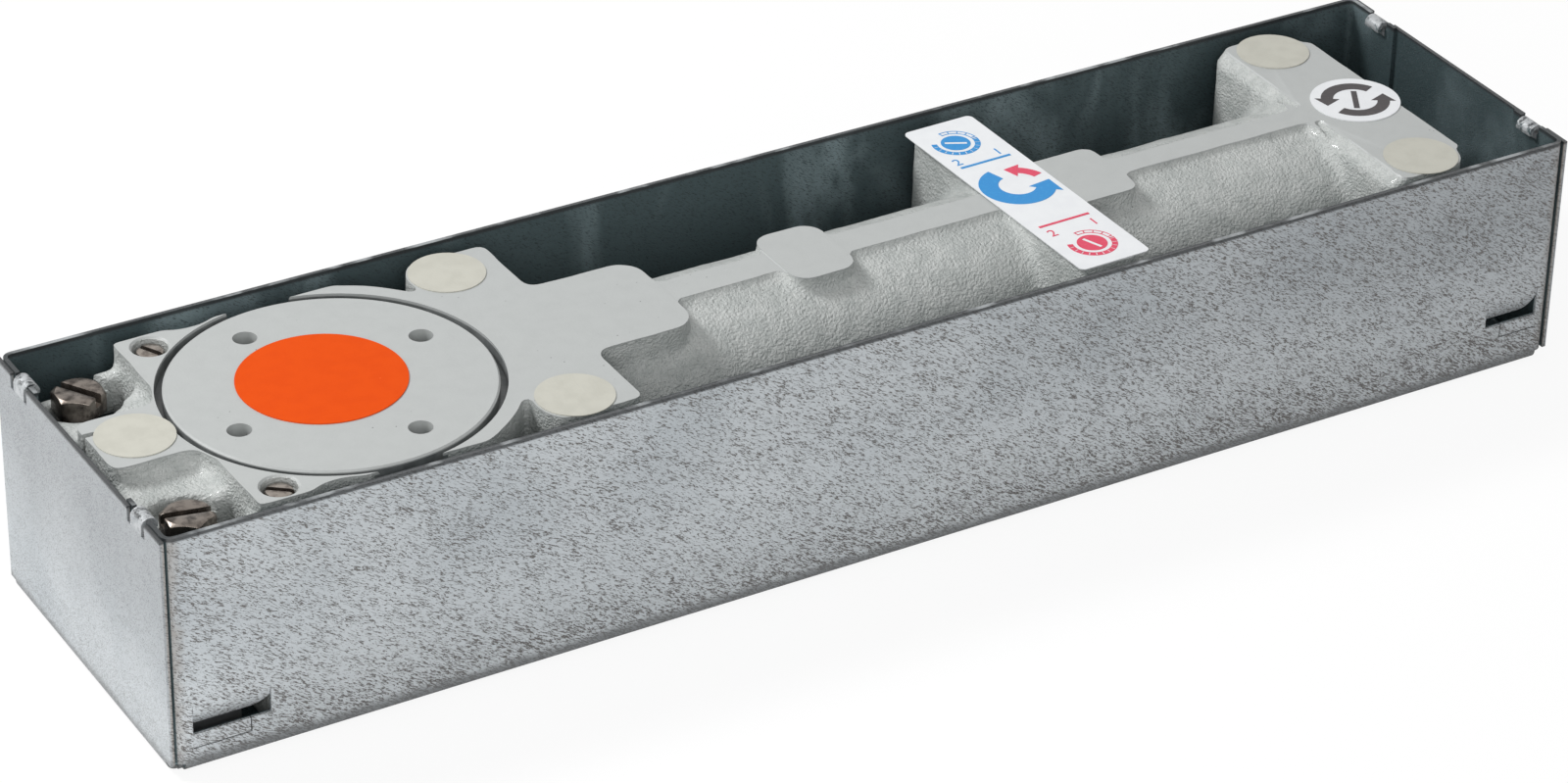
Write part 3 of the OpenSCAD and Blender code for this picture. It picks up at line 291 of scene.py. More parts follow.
def castFinish(name, milledFrom):
    look = castLook
    f = Finish(name, 0.42, coat=0.12)
    mottle = f.noise(look["mottleSize"], 4, 0.6)
    radius = f.sum("SQRT", f.plus(f.sum("POWER", f.place("X"), 2.0), f.sum("POWER", f.place("Y"), 2.0)))
    turned = f.sum("LESS_THAN", radius, look["turnedRadius"])
    milled = f.sum("MAXIMUM", f.sum("GREATER_THAN", f.place("Z"), milledFrom), turned)
    paint = f.mix(f.between(mottle, 0.35, 0.65), look["rough"], look["roughShade"])
    shade = f.times(f.between(mottle, 0.3, 0.8), look["shadeShare"])
    smooth = f.mix(shade, look["paint"], look["shade"])
    # painted shade in the groove round the cover, below the top, mottled
    below = f.sum("LESS_THAN", f.place("Z"), look["grooveTop"])
    groove = f.times(f.times(below, f.sum("GREATER_THAN", radius, look["grooveRadius"])), turned)
    groove = f.times(groove, f.plus(f.times(mottle, look["grooveMottle"]), look["grooveLeast"]))
    skin = f.mix(groove, f.mix(milled, paint, smooth), look["groove"])
    pits = f.times(f.between(f.cells(look["pitCells"]), *look["pitSize"]),
                   f.between(f.noise(look["pitGroups"]), *look["pitFrom"]))
    f.colour(f.mix(pits, skin, look["pit"]))
    coarse = f.times(f.noise(look["coarseSize"], 2), look["coarseShare"])
    grain = f.plus(f.noise(look["grainSize"], 2, 0.55), coarse)
    unmilled = f.minus(1.0, f.times(milled, look["milledShare"]))
    f.bump(f.times(grain, unmilled), look["grainDepth"])
    return f.material


steelLook = {"metallic": 0.9, "roughSpread": 0.18, "depth": 0.00003}


def steelFinish(name, colour, dark, roughness, targets, grain=700, lathe=None):
    # lathe marks run around a turned piece, other steel has an even grain
    spread = steelLook["roughSpread"]
    f = Finish(name, roughness, metallic=steelLook["metallic"])
    if lathe:
        marks = f.noise(1.0, 2, 0.5, f.turned(scale=lathe))
    else:
        marks = f.noise(grain, 3, 0.6)
    f.colour(f.mix(f.between(marks, 0.35, 0.7), colour, dark))
    f.rough(f.plus(f.times(marks, spread), roughness - spread / 2))
    f.bump(marks, steelLook["depth"])
    f.on(*targets)
    return f.material


def plainFinishes():
    steelFinish("groundSteel", linear(176, 178, 180), linear(150, 152, 155), 0.28,
                ("cam_spindle", "heart_cam", "roller_pin", "piston", "check_retainer", "spring_seat",
                 "end_plug", "channel_plugs"), lathe=(900, 120, 120))
    steelFinish("bearingSteel", linear(205, 207, 209), linear(186, 188, 191), 0.16,
                ("upper_outer_race", "upper_inner_race", "upper_balls", "lower_cup", "lower_needles",
                 "cam_roller", "check_ball"), grain=1400)
    steelFinish("barSteel", linear(140, 142, 144), linear(112, 114, 116), 0.42,
                ("fixing_bar", "cam_key", "piston_ring", "force_adjuster"), lathe=(90, 90, 900))
    spring = steelFinish("springSteel", linear(96, 101, 106), linear(70, 74, 78), 0.38,
                         ("main_spring", "cam_retaining_ring"))
    steelFinish("turnedBrass", linear(196, 172, 110), linear(168, 144, 86), 0.30,
                ("closing_valve", "latch_valve", "thrust_washer"), lathe=(150, 150, 1100))
    f = Finish("sealRubber", 0.6)
    dust = f.noise(500, 3)
    f.colour(f.mix(f.between(dust, 0.45, 0.75), linear(28, 28, 30), linear(48, 48, 50)))
    f.bump(dust, 0.00004)
    f.on("cover_seal", "shaft_seal", "adjuster_seal", "end_plug_seal", "closing_valve_seal",
         "latch_valve_seal")
    return spring


# stick-on labels

filmLook = {"cloudSize": 260, "cloudShare": 0.6, "speckCells": 260, "speckSize": (0.06, 0.03),
            "speckGroups": 50, "speckFrom": (0.55, 0.62), "grainSize": 1500, "depth": 0.00003}


def filmFinish(name, colour, cloud, speck, roughness, targets, sheen=0.3):
    look = filmLook
    f = Finish(name, roughness)
    f.shader.inputs["Specular IOR Level"].default_value = sheen
    clouds = f.between(f.noise(look["cloudSize"], 3), 0.35, 0.7)
    base = f.mix(f.times(clouds, look["cloudShare"]), colour, cloud)
    specks = f.times(f.between(f.cells(look["speckCells"]), *look["speckSize"]),
                     f.between(f.noise(look["speckGroups"]), *look["speckFrom"]))
    f.colour(f.mix(specks, base, speck))
    f.bump(f.noise(look["grainSize"], 2), look["depth"])
    f.on(*targets)


def labelFinishes():
    filmFinish("orangeFilm", linear(212, 74, 8), linear(207, 69, 6), linear(240, 120, 70), 0.6,
               ("spindle_label",), sheen=0.08)
    filmFinish("ivoryFilm", linear(184, 183, 173), linear(174, 173, 163), linear(128, 124, 114), 0.55,
               ("hole_labels",))
    filmFinish("whiteFilm", linear(222, 224, 226), linear(216, 218, 221), linear(190, 190, 190), 0.35,
               ("valve_label", "direction_label"))


dress(nodes["cement_box"], sheetFinish("galvanisedSheet"))
flapSheet = sheetFinish("flapSheet", withPaintedInsideShade=False)
castPaint = castFinish("castPaint", milledFrom=0.05818)
dress(nodes["closer_body"], castPaint)
dress(nodes["bearing_cover"], castFinish("coverPaint", milledFrom=0.0545))
springSteel = plainFinishes()
levelSteel = steelFinish("levelSteel", linear(152, 144, 136), linear(98, 90, 84), 0.24,
                         ("level_screw_front", "level_screw_rear"), grain=520)
boltSteel = steelFinish("boltSteel", linear(130, 122, 115), linear(64, 58, 54), 0.26,
                        ("fixing_bolts",), grain=420)
labelFinishes()
print("finishes on the frame's nodes")


# modelling helpers

def pickOnly(*pieces):
    bpy.ops.object.select_all(action="DESELECT")
    for piece in pieces:
        piece.select_set(True)
    bpy.context.view_layer.objects.active = pieces[0]


def applyModifier(piece, kind, **settings):
    pickOnly(piece)
    modifier = piece.modifiers.new(kind.lower(), kind)
    for key, value in settings.items():
        setattr(modifier, key, value)
    bpy.ops.object.modifier_apply(modifier=modifier.name)


def keepPlace(piece):
    # puts the place of a piece into its mesh, so that the object sits at the origin
    pickOnly(piece)
    bpy.ops.object.transform_apply(location=True, rotation=True, scale=True)


def joined(name, pieces):
    pickOnly(*pieces)
    bpy.ops.object.join()
    piece = bpy.context.object
    piece.name = name
    return piece


def uprightRod(radius, low, high, x, y, sides=48):
    bpy.ops.object.select_all(action="DESELECT")
    bpy.ops.mesh.primitive_cylinder_add(vertices=sides, radius=radius, depth=high - low,
                                        location=(x, y, (low + high) / 2))
    rod = bpy.context.object
    keepPlace(rod)
    return rod


def crossRod(radius, length, x, y, z):
    # a rod that lies across the casting, along Y
    bpy.ops.object.select_all(action="DESELECT")
    bpy.ops.mesh.primitive_cylinder_add(vertices=32, radius=radius, depth=length,
                                        location=(x, y, z), rotation=(math.radians(90), 0, 0))
    rod = bpy.context.object
    keepPlace(rod)
    return rod


def slotCutter(length, width, depth, top, turn):
    bpy.ops.object.select_all(action="DESELECT")
    bpy.ops.mesh.primitive_cube_add(size=1, location=(0, 0, top), rotation=(0, 0, math.radians(turn)))
    slot = bpy.context.object
    slot.scale = (length, width, depth * 2)
    keepPlace(slot)
    return slot


def placedSolid(name, profile, x, y, sides=48):
    solid = turnedSolid(name, profile, sides=sides)
    solid.location = (x, y, 0)
    keepPlace(solid)
    return solid


def turnedSolid(name, profile, alongX=None, sides=96):
    # revolves (radius, height) points about Z, or about the X axis at the height alongX
    mesh = bpy.data.meshes.new(name)
    mesh.from_pydata([(radius, 0, height) for radius, height in profile],
                     [(i, i + 1) for i in range(len(profile) - 1)], [])
    solid = bpy.data.objects.new(name, mesh)
    bpy.context.scene.collection.objects.link(solid)
    applyModifier(solid, "SCREW", axis="Z", angle=math.tau, steps=sides, render_steps=sides,
                  use_merge_vertices=True, merge_threshold=1e-6)
    bpy.ops.object.mode_set(mode="EDIT")
    bpy.ops.mesh.select_all(action="SELECT")
    bpy.ops.mesh.remove_doubles(threshold=1e-6)
    bpy.ops.mesh.normals_make_consistent(inside=False)
    bpy.ops.object.mode_set(mode="OBJECT")
    if alongX is not None:
        solid.rotation_euler = (0, math.radians(90), 0)
        solid.location = (0, 0, alongX)
        keepPlace(solid)
    return solid


def cutAway(piece, cutter):
    applyModifier(piece, "BOOLEAN", operation="DIFFERENCE", solver="EXACT", object=cutter)
    bpy.data.objects.remove(cutter)


# the casting: a rough foundry skin, milled flat on top and then bored

castingForm = {
    "top": 0.0585, "stock": 0.002, "clear": 0.061, "voxel": 0.0011, "flank": 0.0381,
    "underside": 0.0013, "axisHeight": 0.0295, "rightEnd": 0.285,
    "wave": 0.0006, "waveSize": 0.012, "grain": 0.00012, "grainSize": 0.0022,
    # raised lands: left, right, half width, edge radius
    "lands": ((0.045, 0.0839, 0.016, 0.0063), (0.1127, 0.1294, 0.0112, 0.0045),
              (0.1785, 0.2063, 0.0112, 0.003), (0.0800, 0.1135, 0.0041, 0.001),
              (0.1285, 0.1750, 0.0041, 0.001), (0.1740, 0.2680, 0.0033, 0.001)),
    "landFloor": 0.0552, "crownTop": 0.05822, "crownHalf": 0.0062, "crownEdge": 0.0002,
    "crownStrips": ((0.08395, 0.1127), (0.1294, 0.1735)),
    "notchPlace": (-0.0560, 0.0052), "notchDeep": 0.0030, "notchWide": 0.0016, "notchSpan": (0.050, 0.062),
    "plateHoles": ((-0.0471, 0), (0.0442, 0.0307), (0.0442, -0.0307), (0.2737, 0.0307),
                   (0.2737, -0.0307)),
    "plateHoleRadius": 0.0025, "plateHoleFloor": 0.0465,
    "levelHoles": ((-0.028593, 0.0331), (-0.028593, -0.0331)),
    "valves": ((0.18055, 0.028), (0.18055, -0.028)),
    "portHeight": 0.033, "portRadius": 0.00302, "portLength": 0.0065, "portMiddle": 0.03745,
    "bolts": ((-0.048, 0.0286), (-0.048, -0.0286)), "spotRadius": 0.01, "spotHeight": 0.05,
    "spotRight": -0.0352, "spotInner": 0.0136,
    # outlines to cut, as radius and height
    "coverSeat": ((0, 0.0063), (0.01302, 0.0063), (0.01302, 0.0162), (0.0329, 0.0162),
                  (0.0329, 0.042), (0.03502, 0.042), (0.03502, 0.055), (0.0389, 0.055),
                  (0.0389, 0.061), (0, 0.061)),
    "bore": ((0, 0.0229), (0.021, 0.0229), (0.021, 0.262), (0.02302, 0.262), (0.02302, 0.287),
             (0, 0.287)),
    "levelBore": ((0, 0), (0.0041, 0), (0.0041, 0.0580), (0.0047, 0.0586), (0.0047, 0.061),
                  (0, 0.061)),
    "valveBore": ((0, 0.033), (0.0025, 0.033), (0.0025, 0.0375), (0.00505, 0.0375),
                  (0.00505, 0.061), (0, 0.061)),
    # solids that stop the openings while the skin is made: radius and foot of the upright ones
    "platePlug": (0.0033, 0.0455), "levelPlug": (0.0047, 0.0015), "valvePlug": (0.00585, 0.03),
    "seatPlug": (0.0394, 0.0145),
    "borePlug": ((0, 0.245), (0.0245, 0.245), (0.0245, 0.2849), (0, 0.2849)),
    # radius, length and distance from the middle
    "portPlug": (0.0036, 0.006, 0.0351),
}


def landBlock(left, right, half, radius, low, high):
    # block with all its edges rounded
    bpy.ops.object.select_all(action="DESELECT")
    bpy.ops.mesh.primitive_cube_add(size=1, location=((left + right) / 2, 0, (low + high) / 2))
    block = bpy.context.object
    block.scale = (right - left, half * 2, high - low)
    keepPlace(block)
    bpy.ops.object.mode_set(mode="EDIT")
    bpy.ops.mesh.select_all(action="SELECT")
    bpy.ops.mesh.bevel(offset=radius, segments=8, affect="EDGES")
    bpy.ops.object.mode_set(mode="OBJECT")
    return block


def castingStock():
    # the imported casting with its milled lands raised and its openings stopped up
    form = castingForm
    stock = bpy.data.objects.new("casting", nodes["closer_body"].data.copy())
    bpy.context.scene.collection.objects.link(stock)
    pickOnly(stock)
    bpy.ops.object.mode_set(mode="EDIT")
    bpy.ops.mesh.select_all(action="SELECT")
    bpy.ops.mesh.remove_doubles(threshold=1e-5)
    bpy.ops.mesh.select_all(action="DESELECT")
    bpy.ops.object.mode_set(mode="OBJECT")
    for vertex in stock.data.vertices:
        vertex.select = vertex.co.z > form["top"] - 1e-4
    bpy.ops.object.mode_set(mode="EDIT")
    bpy.ops.transform.translate(value=(0, 0, form["stock"]))
    bpy.ops.object.mode_set(mode="OBJECT")
    high = form["top"] + form["stock"]
    stops = [uprightRod(*form[plug], high, x, y) for plug, places in (
        ("platePlug", "plateHoles"), ("levelPlug", "levelHoles"), ("valvePlug", "valves"))
        for x, y in form[places]]
    seat = uprightRod(*form["seatPlug"], high, 0, 0, 128)
    bpy.ops.object.mode_set(mode="EDIT")
    for side in (1, -1):
        bpy.ops.mesh.select_all(action="SELECT")
        bpy.ops.mesh.bisect(plane_co=(0, side * form["flank"], 0), plane_no=(0, side, 0),
                            use_fill=True, clear_outer=True)
    bpy.ops.object.mode_set(mode="OBJECT")
    plug = turnedSolid("plug", form["borePlug"], alongX=form["axisHeight"])
    radius, length, across = form["portPlug"]
    sidePlugs = [crossRod(radius, length, x, math.copysign(across, y), form["portHeight"])
                 for x, y in form["valves"]]
    lands = [landBlock(left, right, half, radius, form["landFloor"], high)
             for left, right, half, radius in form["lands"]]
    return joined("casting", [stock, seat, plug] + stops + sidePlugs + lands)


def castingDrills():
    # plate holes, levelling holes, valve bores with their ports, crown strips and the lug's notch
    form = castingForm
    drills = [uprightRod(form["plateHoleRadius"], form["plateHoleFloor"], form["clear"], x, y)
              for x, y in form["plateHoles"]]
    drills += [placedSolid("levelCutter", form["levelBore"], x, y) for x, y in form["levelHoles"]]
    for x, y in form["valves"]:
        drills.append(placedSolid("valveCutter", form["valveBore"], x, y))
        drills.append(crossRod(form["portRadius"], form["portLength"], x,
                               math.copysign(form["portMiddle"], y), form["portHeight"]))
    for left, right in form["crownStrips"]:
        drills.append(landBlock(left, right, form["crownHalf"], form["crownEdge"],
                                form["crownTop"], form["clear"]))
    x, y = form["notchPlace"]
    notch = uprightRod(form["notchWide"] / 2, *form["notchSpan"], 0, 0, 12)
    notch.scale = (form["notchDeep"] / form["notchWide"] * 2, 1, 1)
    notch.location = (x, y, 0)
    keepPlace(notch)
    return drills + [notch]


def spotFace(x, y):
    # milled ring around a bolt, kept clear of the head block and of the middle lug
    form = castingForm
    side = math.copysign(1, y)
    spot = uprightRod(form["spotRadius"], form["spotHeight"], form["clear"], x, y)
    bpy.ops.object.mode_set(mode="EDIT")
    for place, away in (((form["spotRight"], 0, 0), (1, 0, 0)),
                        ((0, side * form["spotInner"], 0), (0, -side, 0))):
        bpy.ops.mesh.select_all(action="SELECT")
        bpy.ops.mesh.bisect(plane_co=place, plane_no=away, use_fill=True, clear_outer=True)
    bpy.ops.object.mode_set(mode="OBJECT")
    return spot


def makeCasting():
    form = castingForm
    casting = castingStock()
    applyModifier(casting, "REMESH", mode="VOXEL", voxel_size=form["voxel"], adaptivity=0)
    applyModifier(casting, "SMOOTH", factor=0.5, iterations=3)
    for name, size, strength in (("wave", form["waveSize"], form["wave"]),
                                 ("grain", form["grainSize"], form["grain"])):
        texture = bpy.data.textures.new(name, "CLOUDS")
        texture.noise_scale = size
        texture.noise_depth = 2
        applyModifier(casting, "DISPLACE", texture=texture, texture_coords="LOCAL",
                      strength=strength, mid_level=0.5)
    for vertex in casting.data.vertices:
        vertex.co.z = max(vertex.co.z, form["underside"])
        vertex.co.x = min(vertex.co.x, form["rightEnd"])
    bpy.ops.object.mode_set(mode="EDIT")
    bpy.ops.mesh.select_all(action="SELECT")
    bpy.ops.mesh.bisect(plane_co=(0, 0, form["top"]), plane_no=(0, 0, 1),
                        use_fill=True, clear_outer=True)
    bpy.ops.object.mode_set(mode="OBJECT")
    cutAway(casting, turnedSolid("seatCutter", form["coverSeat"], sides=128))
    cutAway(casting, turnedSolid("boreCutter", form["bore"], alongX=form["axisHeight"]))
    cutAway(casting, joined("drills", castingDrills()))
    cutAway(casting, joined("spots", [spotFace(x, y) for x, y in form["bolts"]]))
    pickOnly(casting)
    bpy.ops.object.shade_smooth_by_angle(angle=math.radians(38))
    dress(casting, castPaint)
    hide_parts("closer_body")
    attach(casting, "housing")
    return casting


# fixing bolts: hexagon heads with a driver slot

boltForm = {
    "places": ((-0.048, 0.0286, -58), (-0.048, -0.0286, -12)),  # x, y, turn of the slot
    "across": 0.0108, "headTurn": -1, "seat": 0.05, "head": 0.0053, "shank": 0.004, "tip": 0.0025,
    "slotLength": 0.02, "slotWidth": 0.0019, "slotDepth": 0.0026, "edge": 0.00016,
    "flatShare": 0.47, "domeSlope": 0.62, "over": 0.001, "under": 0.0001, "chamfer": 0.0008,
}


def boltHead(slotTurn):
    form = boltForm
    corner, flat = form["across"] / math.sqrt(3), form["across"] * form["flatShare"]
    low, high = form["seat"], form["seat"] + form["head"]
    head = uprightRod(corner, low, high, 0, 0, 6)
    head.rotation_euler = (0, 0, math.radians(form["headTurn"]))
    keepPlace(head)
    outer, foot = corner + form["over"], low - form["under"]
    shoulder = high - (outer - flat) * form["domeSlope"]
    dome = turnedSolid("dome", ((0, foot), (outer, foot), (outer, shoulder), (flat, high), (0, high)))
    applyModifier(head, "BOOLEAN", operation="INTERSECT", solver="EXACT", object=dome)
    bpy.data.objects.remove(dome)
    cutAway(head, slotCutter(form["slotLength"], form["slotWidth"], form["slotDepth"], high, slotTurn))
    applyModifier(head, "BEVEL", width=form["edge"], segments=2, limit_method="ANGLE",
                  angle_limit=math.radians(24))
    return head


def makeBolts():
    form = boltForm
    bolts = []
    for x, y, slotTurn in form["places"]:
        head = boltHead(slotTurn)
        radius, low, high, cut = form["shank"], form["tip"], form["seat"] + 0.0002, form["chamfer"]
        shank = turnedSolid("shank", ((0, low), (radius - cut, low), (radius, low + cut),
                                      (radius, high), (0, high)), sides=48)
        bolt = joined("bolt", [head, shank])
        bolt.location = (x, y, 0)
        keepPlace(bolt)
        bolts.append(bolt)
    bolts = joined("bolt_pair", bolts)
    bpy.ops.object.shade_smooth_by_angle(angle=math.radians(30))
    dress(bolts, boltSteel)
    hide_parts("fixing_bolts")
    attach(bolts, "housing")


# main spring: split in two halves, one on the piston's side and one on the spring seat's side

springForm = {"pistonShare": 0.64}  # share of the length that the piston's half takes


def makeSpring():
    low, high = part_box("main_spring")
    middle = low[0] + (high[0] - low[0]) * springForm["pistonShare"]
    for name, body, end, side in (("spring_piston_side", "piston_carriage", low[0], 1),
                                  ("spring_seat_side", "spring_seat", high[0], -1)):
        half = bpy.data.objects.new(name, nodes["main_spring"].data.copy())
        bpy.context.scene.collection.objects.link(half)
        pickOnly(half)
        bpy.ops.object.mode_set(mode="EDIT")
        bpy.ops.mesh.select_all(action="SELECT")
        bpy.ops.mesh.remove_doubles(threshold=1e-6)
        bpy.ops.mesh.select_all(action="SELECT")
        bpy.ops.mesh.bisect(plane_co=(middle, 0, 0), plane_no=(side, 0, 0), use_fill=True, clear_outer=True)
        bpy.ops.object.mode_set(mode="OBJECT")
        bpy.ops.object.shade_smooth_by_angle(angle=math.radians(40))
        dress(half, springSteel)
        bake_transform(half)
        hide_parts("main_spring")


# flaps of the lanced windows, curving in from the sheet

flapForm = {
    # left edge, length, top, height, corner length, corner rise
    "windows": ((-0.0556, 0.0185, 0.01638, 0.0054, 0.0040, 0.0030),
                (0.2881, 0.0152, 0.02118, 0.0068, 0.0030, 0.0042)),
    "wall": 0.0435, "curve": 0.0021, "thickness": 0.0008, "gap": 0.00012,
}


def makeFlaps():
    form = flapForm
    flaps = []
    for left, length, top, drop, corner, rise in form["windows"]:
        for side in (-1, 1):
            bpy.ops.object.select_all(action="DESELECT")
            bpy.ops.mesh.primitive_grid_add(x_subdivisions=24, y_subdivisions=12, size=1)
            flap = bpy.context.object
            for vertex in flap.data.vertices:
                u, down = vertex.co.x + 0.5, 0.5 - vertex.co.y
                x = left + form["gap"] + u * (length - 2 * form["gap"])
                fromEnd = max(0, corner - (left + length - x)) / corner
                deep = down * (drop - rise * fromEnd ** 1.6)
                vertex.co = (x, side * (form["wall"] - form["curve"] * (deep / drop) ** 2), top - deep)
            bpy.ops.object.mode_set(mode="EDIT")
            bpy.ops.mesh.select_all(action="SELECT")
            if side > 0:
                bpy.ops.mesh.flip_normals()
            bpy.ops.object.mode_set(mode="OBJECT")
            applyModifier(flap, "SOLIDIFY", thickness=form["thickness"], offset=-1)
            flaps.append(flap)
    flaps = joined("window_flaps", flaps)
    bpy.ops.object.shade_smooth_by_angle(angle=math.radians(30))
    dress(flaps, flapSheet)
    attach(flaps, "housing")


# levelling screws: slotted grub screws that stand just under the milled face

levelForm = {
    "radius": 0.00402, "thread": 0.0006, "pitch": 0.00125, "end": 0.0033, "foot": 0.001,
    "footRadius": 0.0028, "footHeight": 0.0010, "threadFrom": 0.0014, "threadBelowTop": 0.0026,
    "crestShare": 0.45, "relief": 0.0004, "top": 0.0576, "slotLength": 0.012, "slotWidth": 0.0013,
    "slotDepth": 0.0018,
    # rounding of the upper end, as steps in from its radius and down from its top
    "rounding": ((0, 0.0009), (0.0003, 0.0002), (0.0008, 0)),
    "turns": {"level_screw_front": -38, "level_screw_rear": -62},
}


def makeLevelScrew(node, body):
    form = levelForm
    low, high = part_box(node)
    x, y = (low[0] + high[0]) / 2, (low[1] + high[1]) / 2
    foot, top, pitch = form["foot"], form["top"], form["pitch"]
    core = form["radius"] - form["thread"]
    profile = [(0, foot), (form["footRadius"], foot), (core, foot + form["footHeight"])]
    height = foot + form["threadFrom"]
    while height < top - form["threadBelowTop"]:
        profile += [(form["radius"], height + pitch * form["crestShare"]), (core, height + pitch)]
        height += pitch
    profile.append((core, height + form["relief"]))
    profile += [(form["end"] - step, top - drop) for step, drop in form["rounding"]]
    profile.append((0, top))
    screw = turnedSolid(node.replace("screw", "grub"), profile, sides=48)
    cutAway(screw, slotCutter(form["slotLength"], form["slotWidth"], form["slotDepth"], top,
                              form["turns"][node]))
    screw.location = (x, y, 0)
    keepPlace(screw)
    bpy.ops.object.shade_smooth_by_angle(angle=math.radians(30))
    dress(screw, levelSteel)
    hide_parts(node)
    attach(screw, body)


# print on the labels

labelInk = {"thickness": 0.00006, "blue": linear(0, 128, 194), "crimson": linear(206, 52, 84),
            "black": linear(38, 32, 34), "numberSize": 0.0042, "numberTurn": -90,
            "roughness": 0.42, "wearSize": 900, "grainSize": 1800, "depth": 0.00002}


def polar(centre, radius, angle):
    a = math.radians(angle)
    return (centre[0] + radius * math.cos(a), centre[1] + radius * math.sin(a))


def ring(outer, inner, start, end, centre=(0, 0), steps=40):
    # closed outline of a ring segment, angles in degrees
    angles = [start + (end - start) * i / steps for i in range(steps + 1)]
    return ([polar(centre, outer, angle) for angle in angles]
            + [polar(centre, inner, angle) for angle in reversed(angles)])


def circle(radius, centre, steps=48):
    return [polar(centre, radius, 360 * i / steps) for i in range(steps)]


def bar(centre, length, width, turn):
    c, s = math.cos(math.radians(turn)), math.sin(math.radians(turn))
    corners = ((-1, -1), (1, -1), (1, 1), (-1, 1))
    return [(centre[0] + (x * length * c - y * width * s) / 2,
             centre[1] + (x * length * s + y * width * c) / 2) for x, y in corners]


def arrowHead(centre, radius, angle, length, width):
    # triangle on a circle, pointing along it
    tip = polar(polar(centre, radius, angle), length, angle + 90)
    return [polar(centre, radius + width / 2, angle), polar(centre, radius - width / 2, angle), tip]


dialForm = {
    "radius": 0.0036, "outer": 0.005976, "inner": 0.004608, "slot": (0.0054, 0.000864),
    "solid": (70, 270), "ticks": range(85, 270, 18), "tickWidth": 0.00026,
    "open": (274, 372), "line": 0.00022, "cellEdges": (276, 300, 324, 348, 370),
    "tickShare": 0.8, "cellGap": 0.0005, "cellWidth": 0.00024,
}


def dial(centre, turn):
    # disc with an open slot, a solid part of the scale with open ticks, and open cells
    form = dialForm
    outer, inner, line = form["outer"], form["inner"], form["line"]
    middle = (outer + inner) / 2
    shapes = [circle(form["radius"], centre), bar(centre, *form["slot"], turn),
              ring(outer, inner, *form["solid"], centre, 50)]
    for angle in form["ticks"]:
        shapes.append(bar(polar(centre, middle, angle), (outer - inner) * form["tickShare"],
                          form["tickWidth"], angle))
    for edge in (outer, inner + line):
        shapes.append(ring(edge, edge - line, *form["open"], centre, 30))
    for angle in form["cellEdges"]:
        shapes.append(bar(polar(centre, middle, angle), outer - inner - form["cellGap"],
                          form["cellWidth"], angle))
    return shapes


def inkPiece(name, outlines, finish, place, turn, body, numbers=()):
    # thin print from closed outlines, where an outline inside another is open, and plain numbers
    drawing = bpy.data.curves.new(name, "CURVE")
    drawing.dimensions = "2D"
    drawing.fill_mode = "BOTH"
    drawing.extrude = labelInk["thickness"] / 2
    for points in outlines:
        spline = drawing.splines.new("POLY")
        spline.points.add(len(points) - 1)
        for point, (x, y) in zip(spline.points, points):
            point.co = (x, y, 0, 1)
        spline.use_cyclic_u = True
    piece = bpy.data.objects.new(name, drawing)
    bpy.context.scene.collection.objects.link(piece)
    pieces = [piece]
    for text, x, y in numbers:
        figureData = bpy.data.curves.new(name, "FONT")
        figureData.body = text
        figureData.size = labelInk["numberSize"]
        figureData.align_x = "CENTER"
        figureData.align_y = "CENTER"
        figureData.extrude = labelInk["thickness"] / 2
        figure = bpy.data.objects.new(name, figureData)
        bpy.context.scene.collection.objects.link(figure)
        figure.location = (x, y, 0)
        figure.rotation_euler = (0, 0, math.radians(labelInk["numberTurn"]))
        pieces.append(figure)
    for part in pieces:
        pickOnly(part)
        bpy.ops.object.convert(target="MESH")
        keepPlace(bpy.context.object)
    piece = joined(name, pieces) if len(pieces) > 1 else pieces[0]
    piece.location = place
    piece.rotation_euler = (0, 0, math.radians(turn))
    keepPlace(piece)
    bpy.ops.object.mode_set(mode="EDIT")
    bpy.ops.mesh.select_all(action="SELECT")
    bpy.ops.mesh.remove_doubles(threshold=1e-7)
    bpy.ops.object.mode_set(mode="OBJECT")
    dress(piece, finish)
    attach(piece, body)


def inkFinish(name, colour, worn):
    f = Finish(name, labelInk["roughness"])
    f.colour(f.mix(f.between(f.noise(labelInk["wearSize"], 3), 0.5, 0.8), colour, worn))
    f.bump(f.noise(labelInk["grainSize"], 2), labelInk["depth"])
    return f.material


valvePrint = {
    # drawn lengthways: first number along the label, second across it
    "place": (0.18095, 0.0), "turn": 91.2, "rearDial": (0.0277, 0.0012), "frontDial": (-0.0285, 0.0003),
    "rearSlot": 62, "frontSlot": 20, "line": (0.0008, 0.0140), "lineAt": 0.0165,
    # arcs as outer and inner radius, start and end; heads as radius, angle, length and width
    "swing": (0.003, 0.0),
    "blueArc": (0.0092, 0.0045, 15, 228), "blueHead": (0.00685, 228.2, 0.0046, 0.0082),
    "crimsonArc": (0.0086, 0.0060, 285, 325), "crimsonHead": (0.0073, 325.2, 0.0034, 0.0058),
    # digit, place along and across
    "rearNumbers": (("1", 0.0192, -0.0052), ("2", 0.0192, 0.0062)),
    "frontNumbers": (("1", -0.0204, -0.0058), ("2", -0.0204, 0.0058)),
}


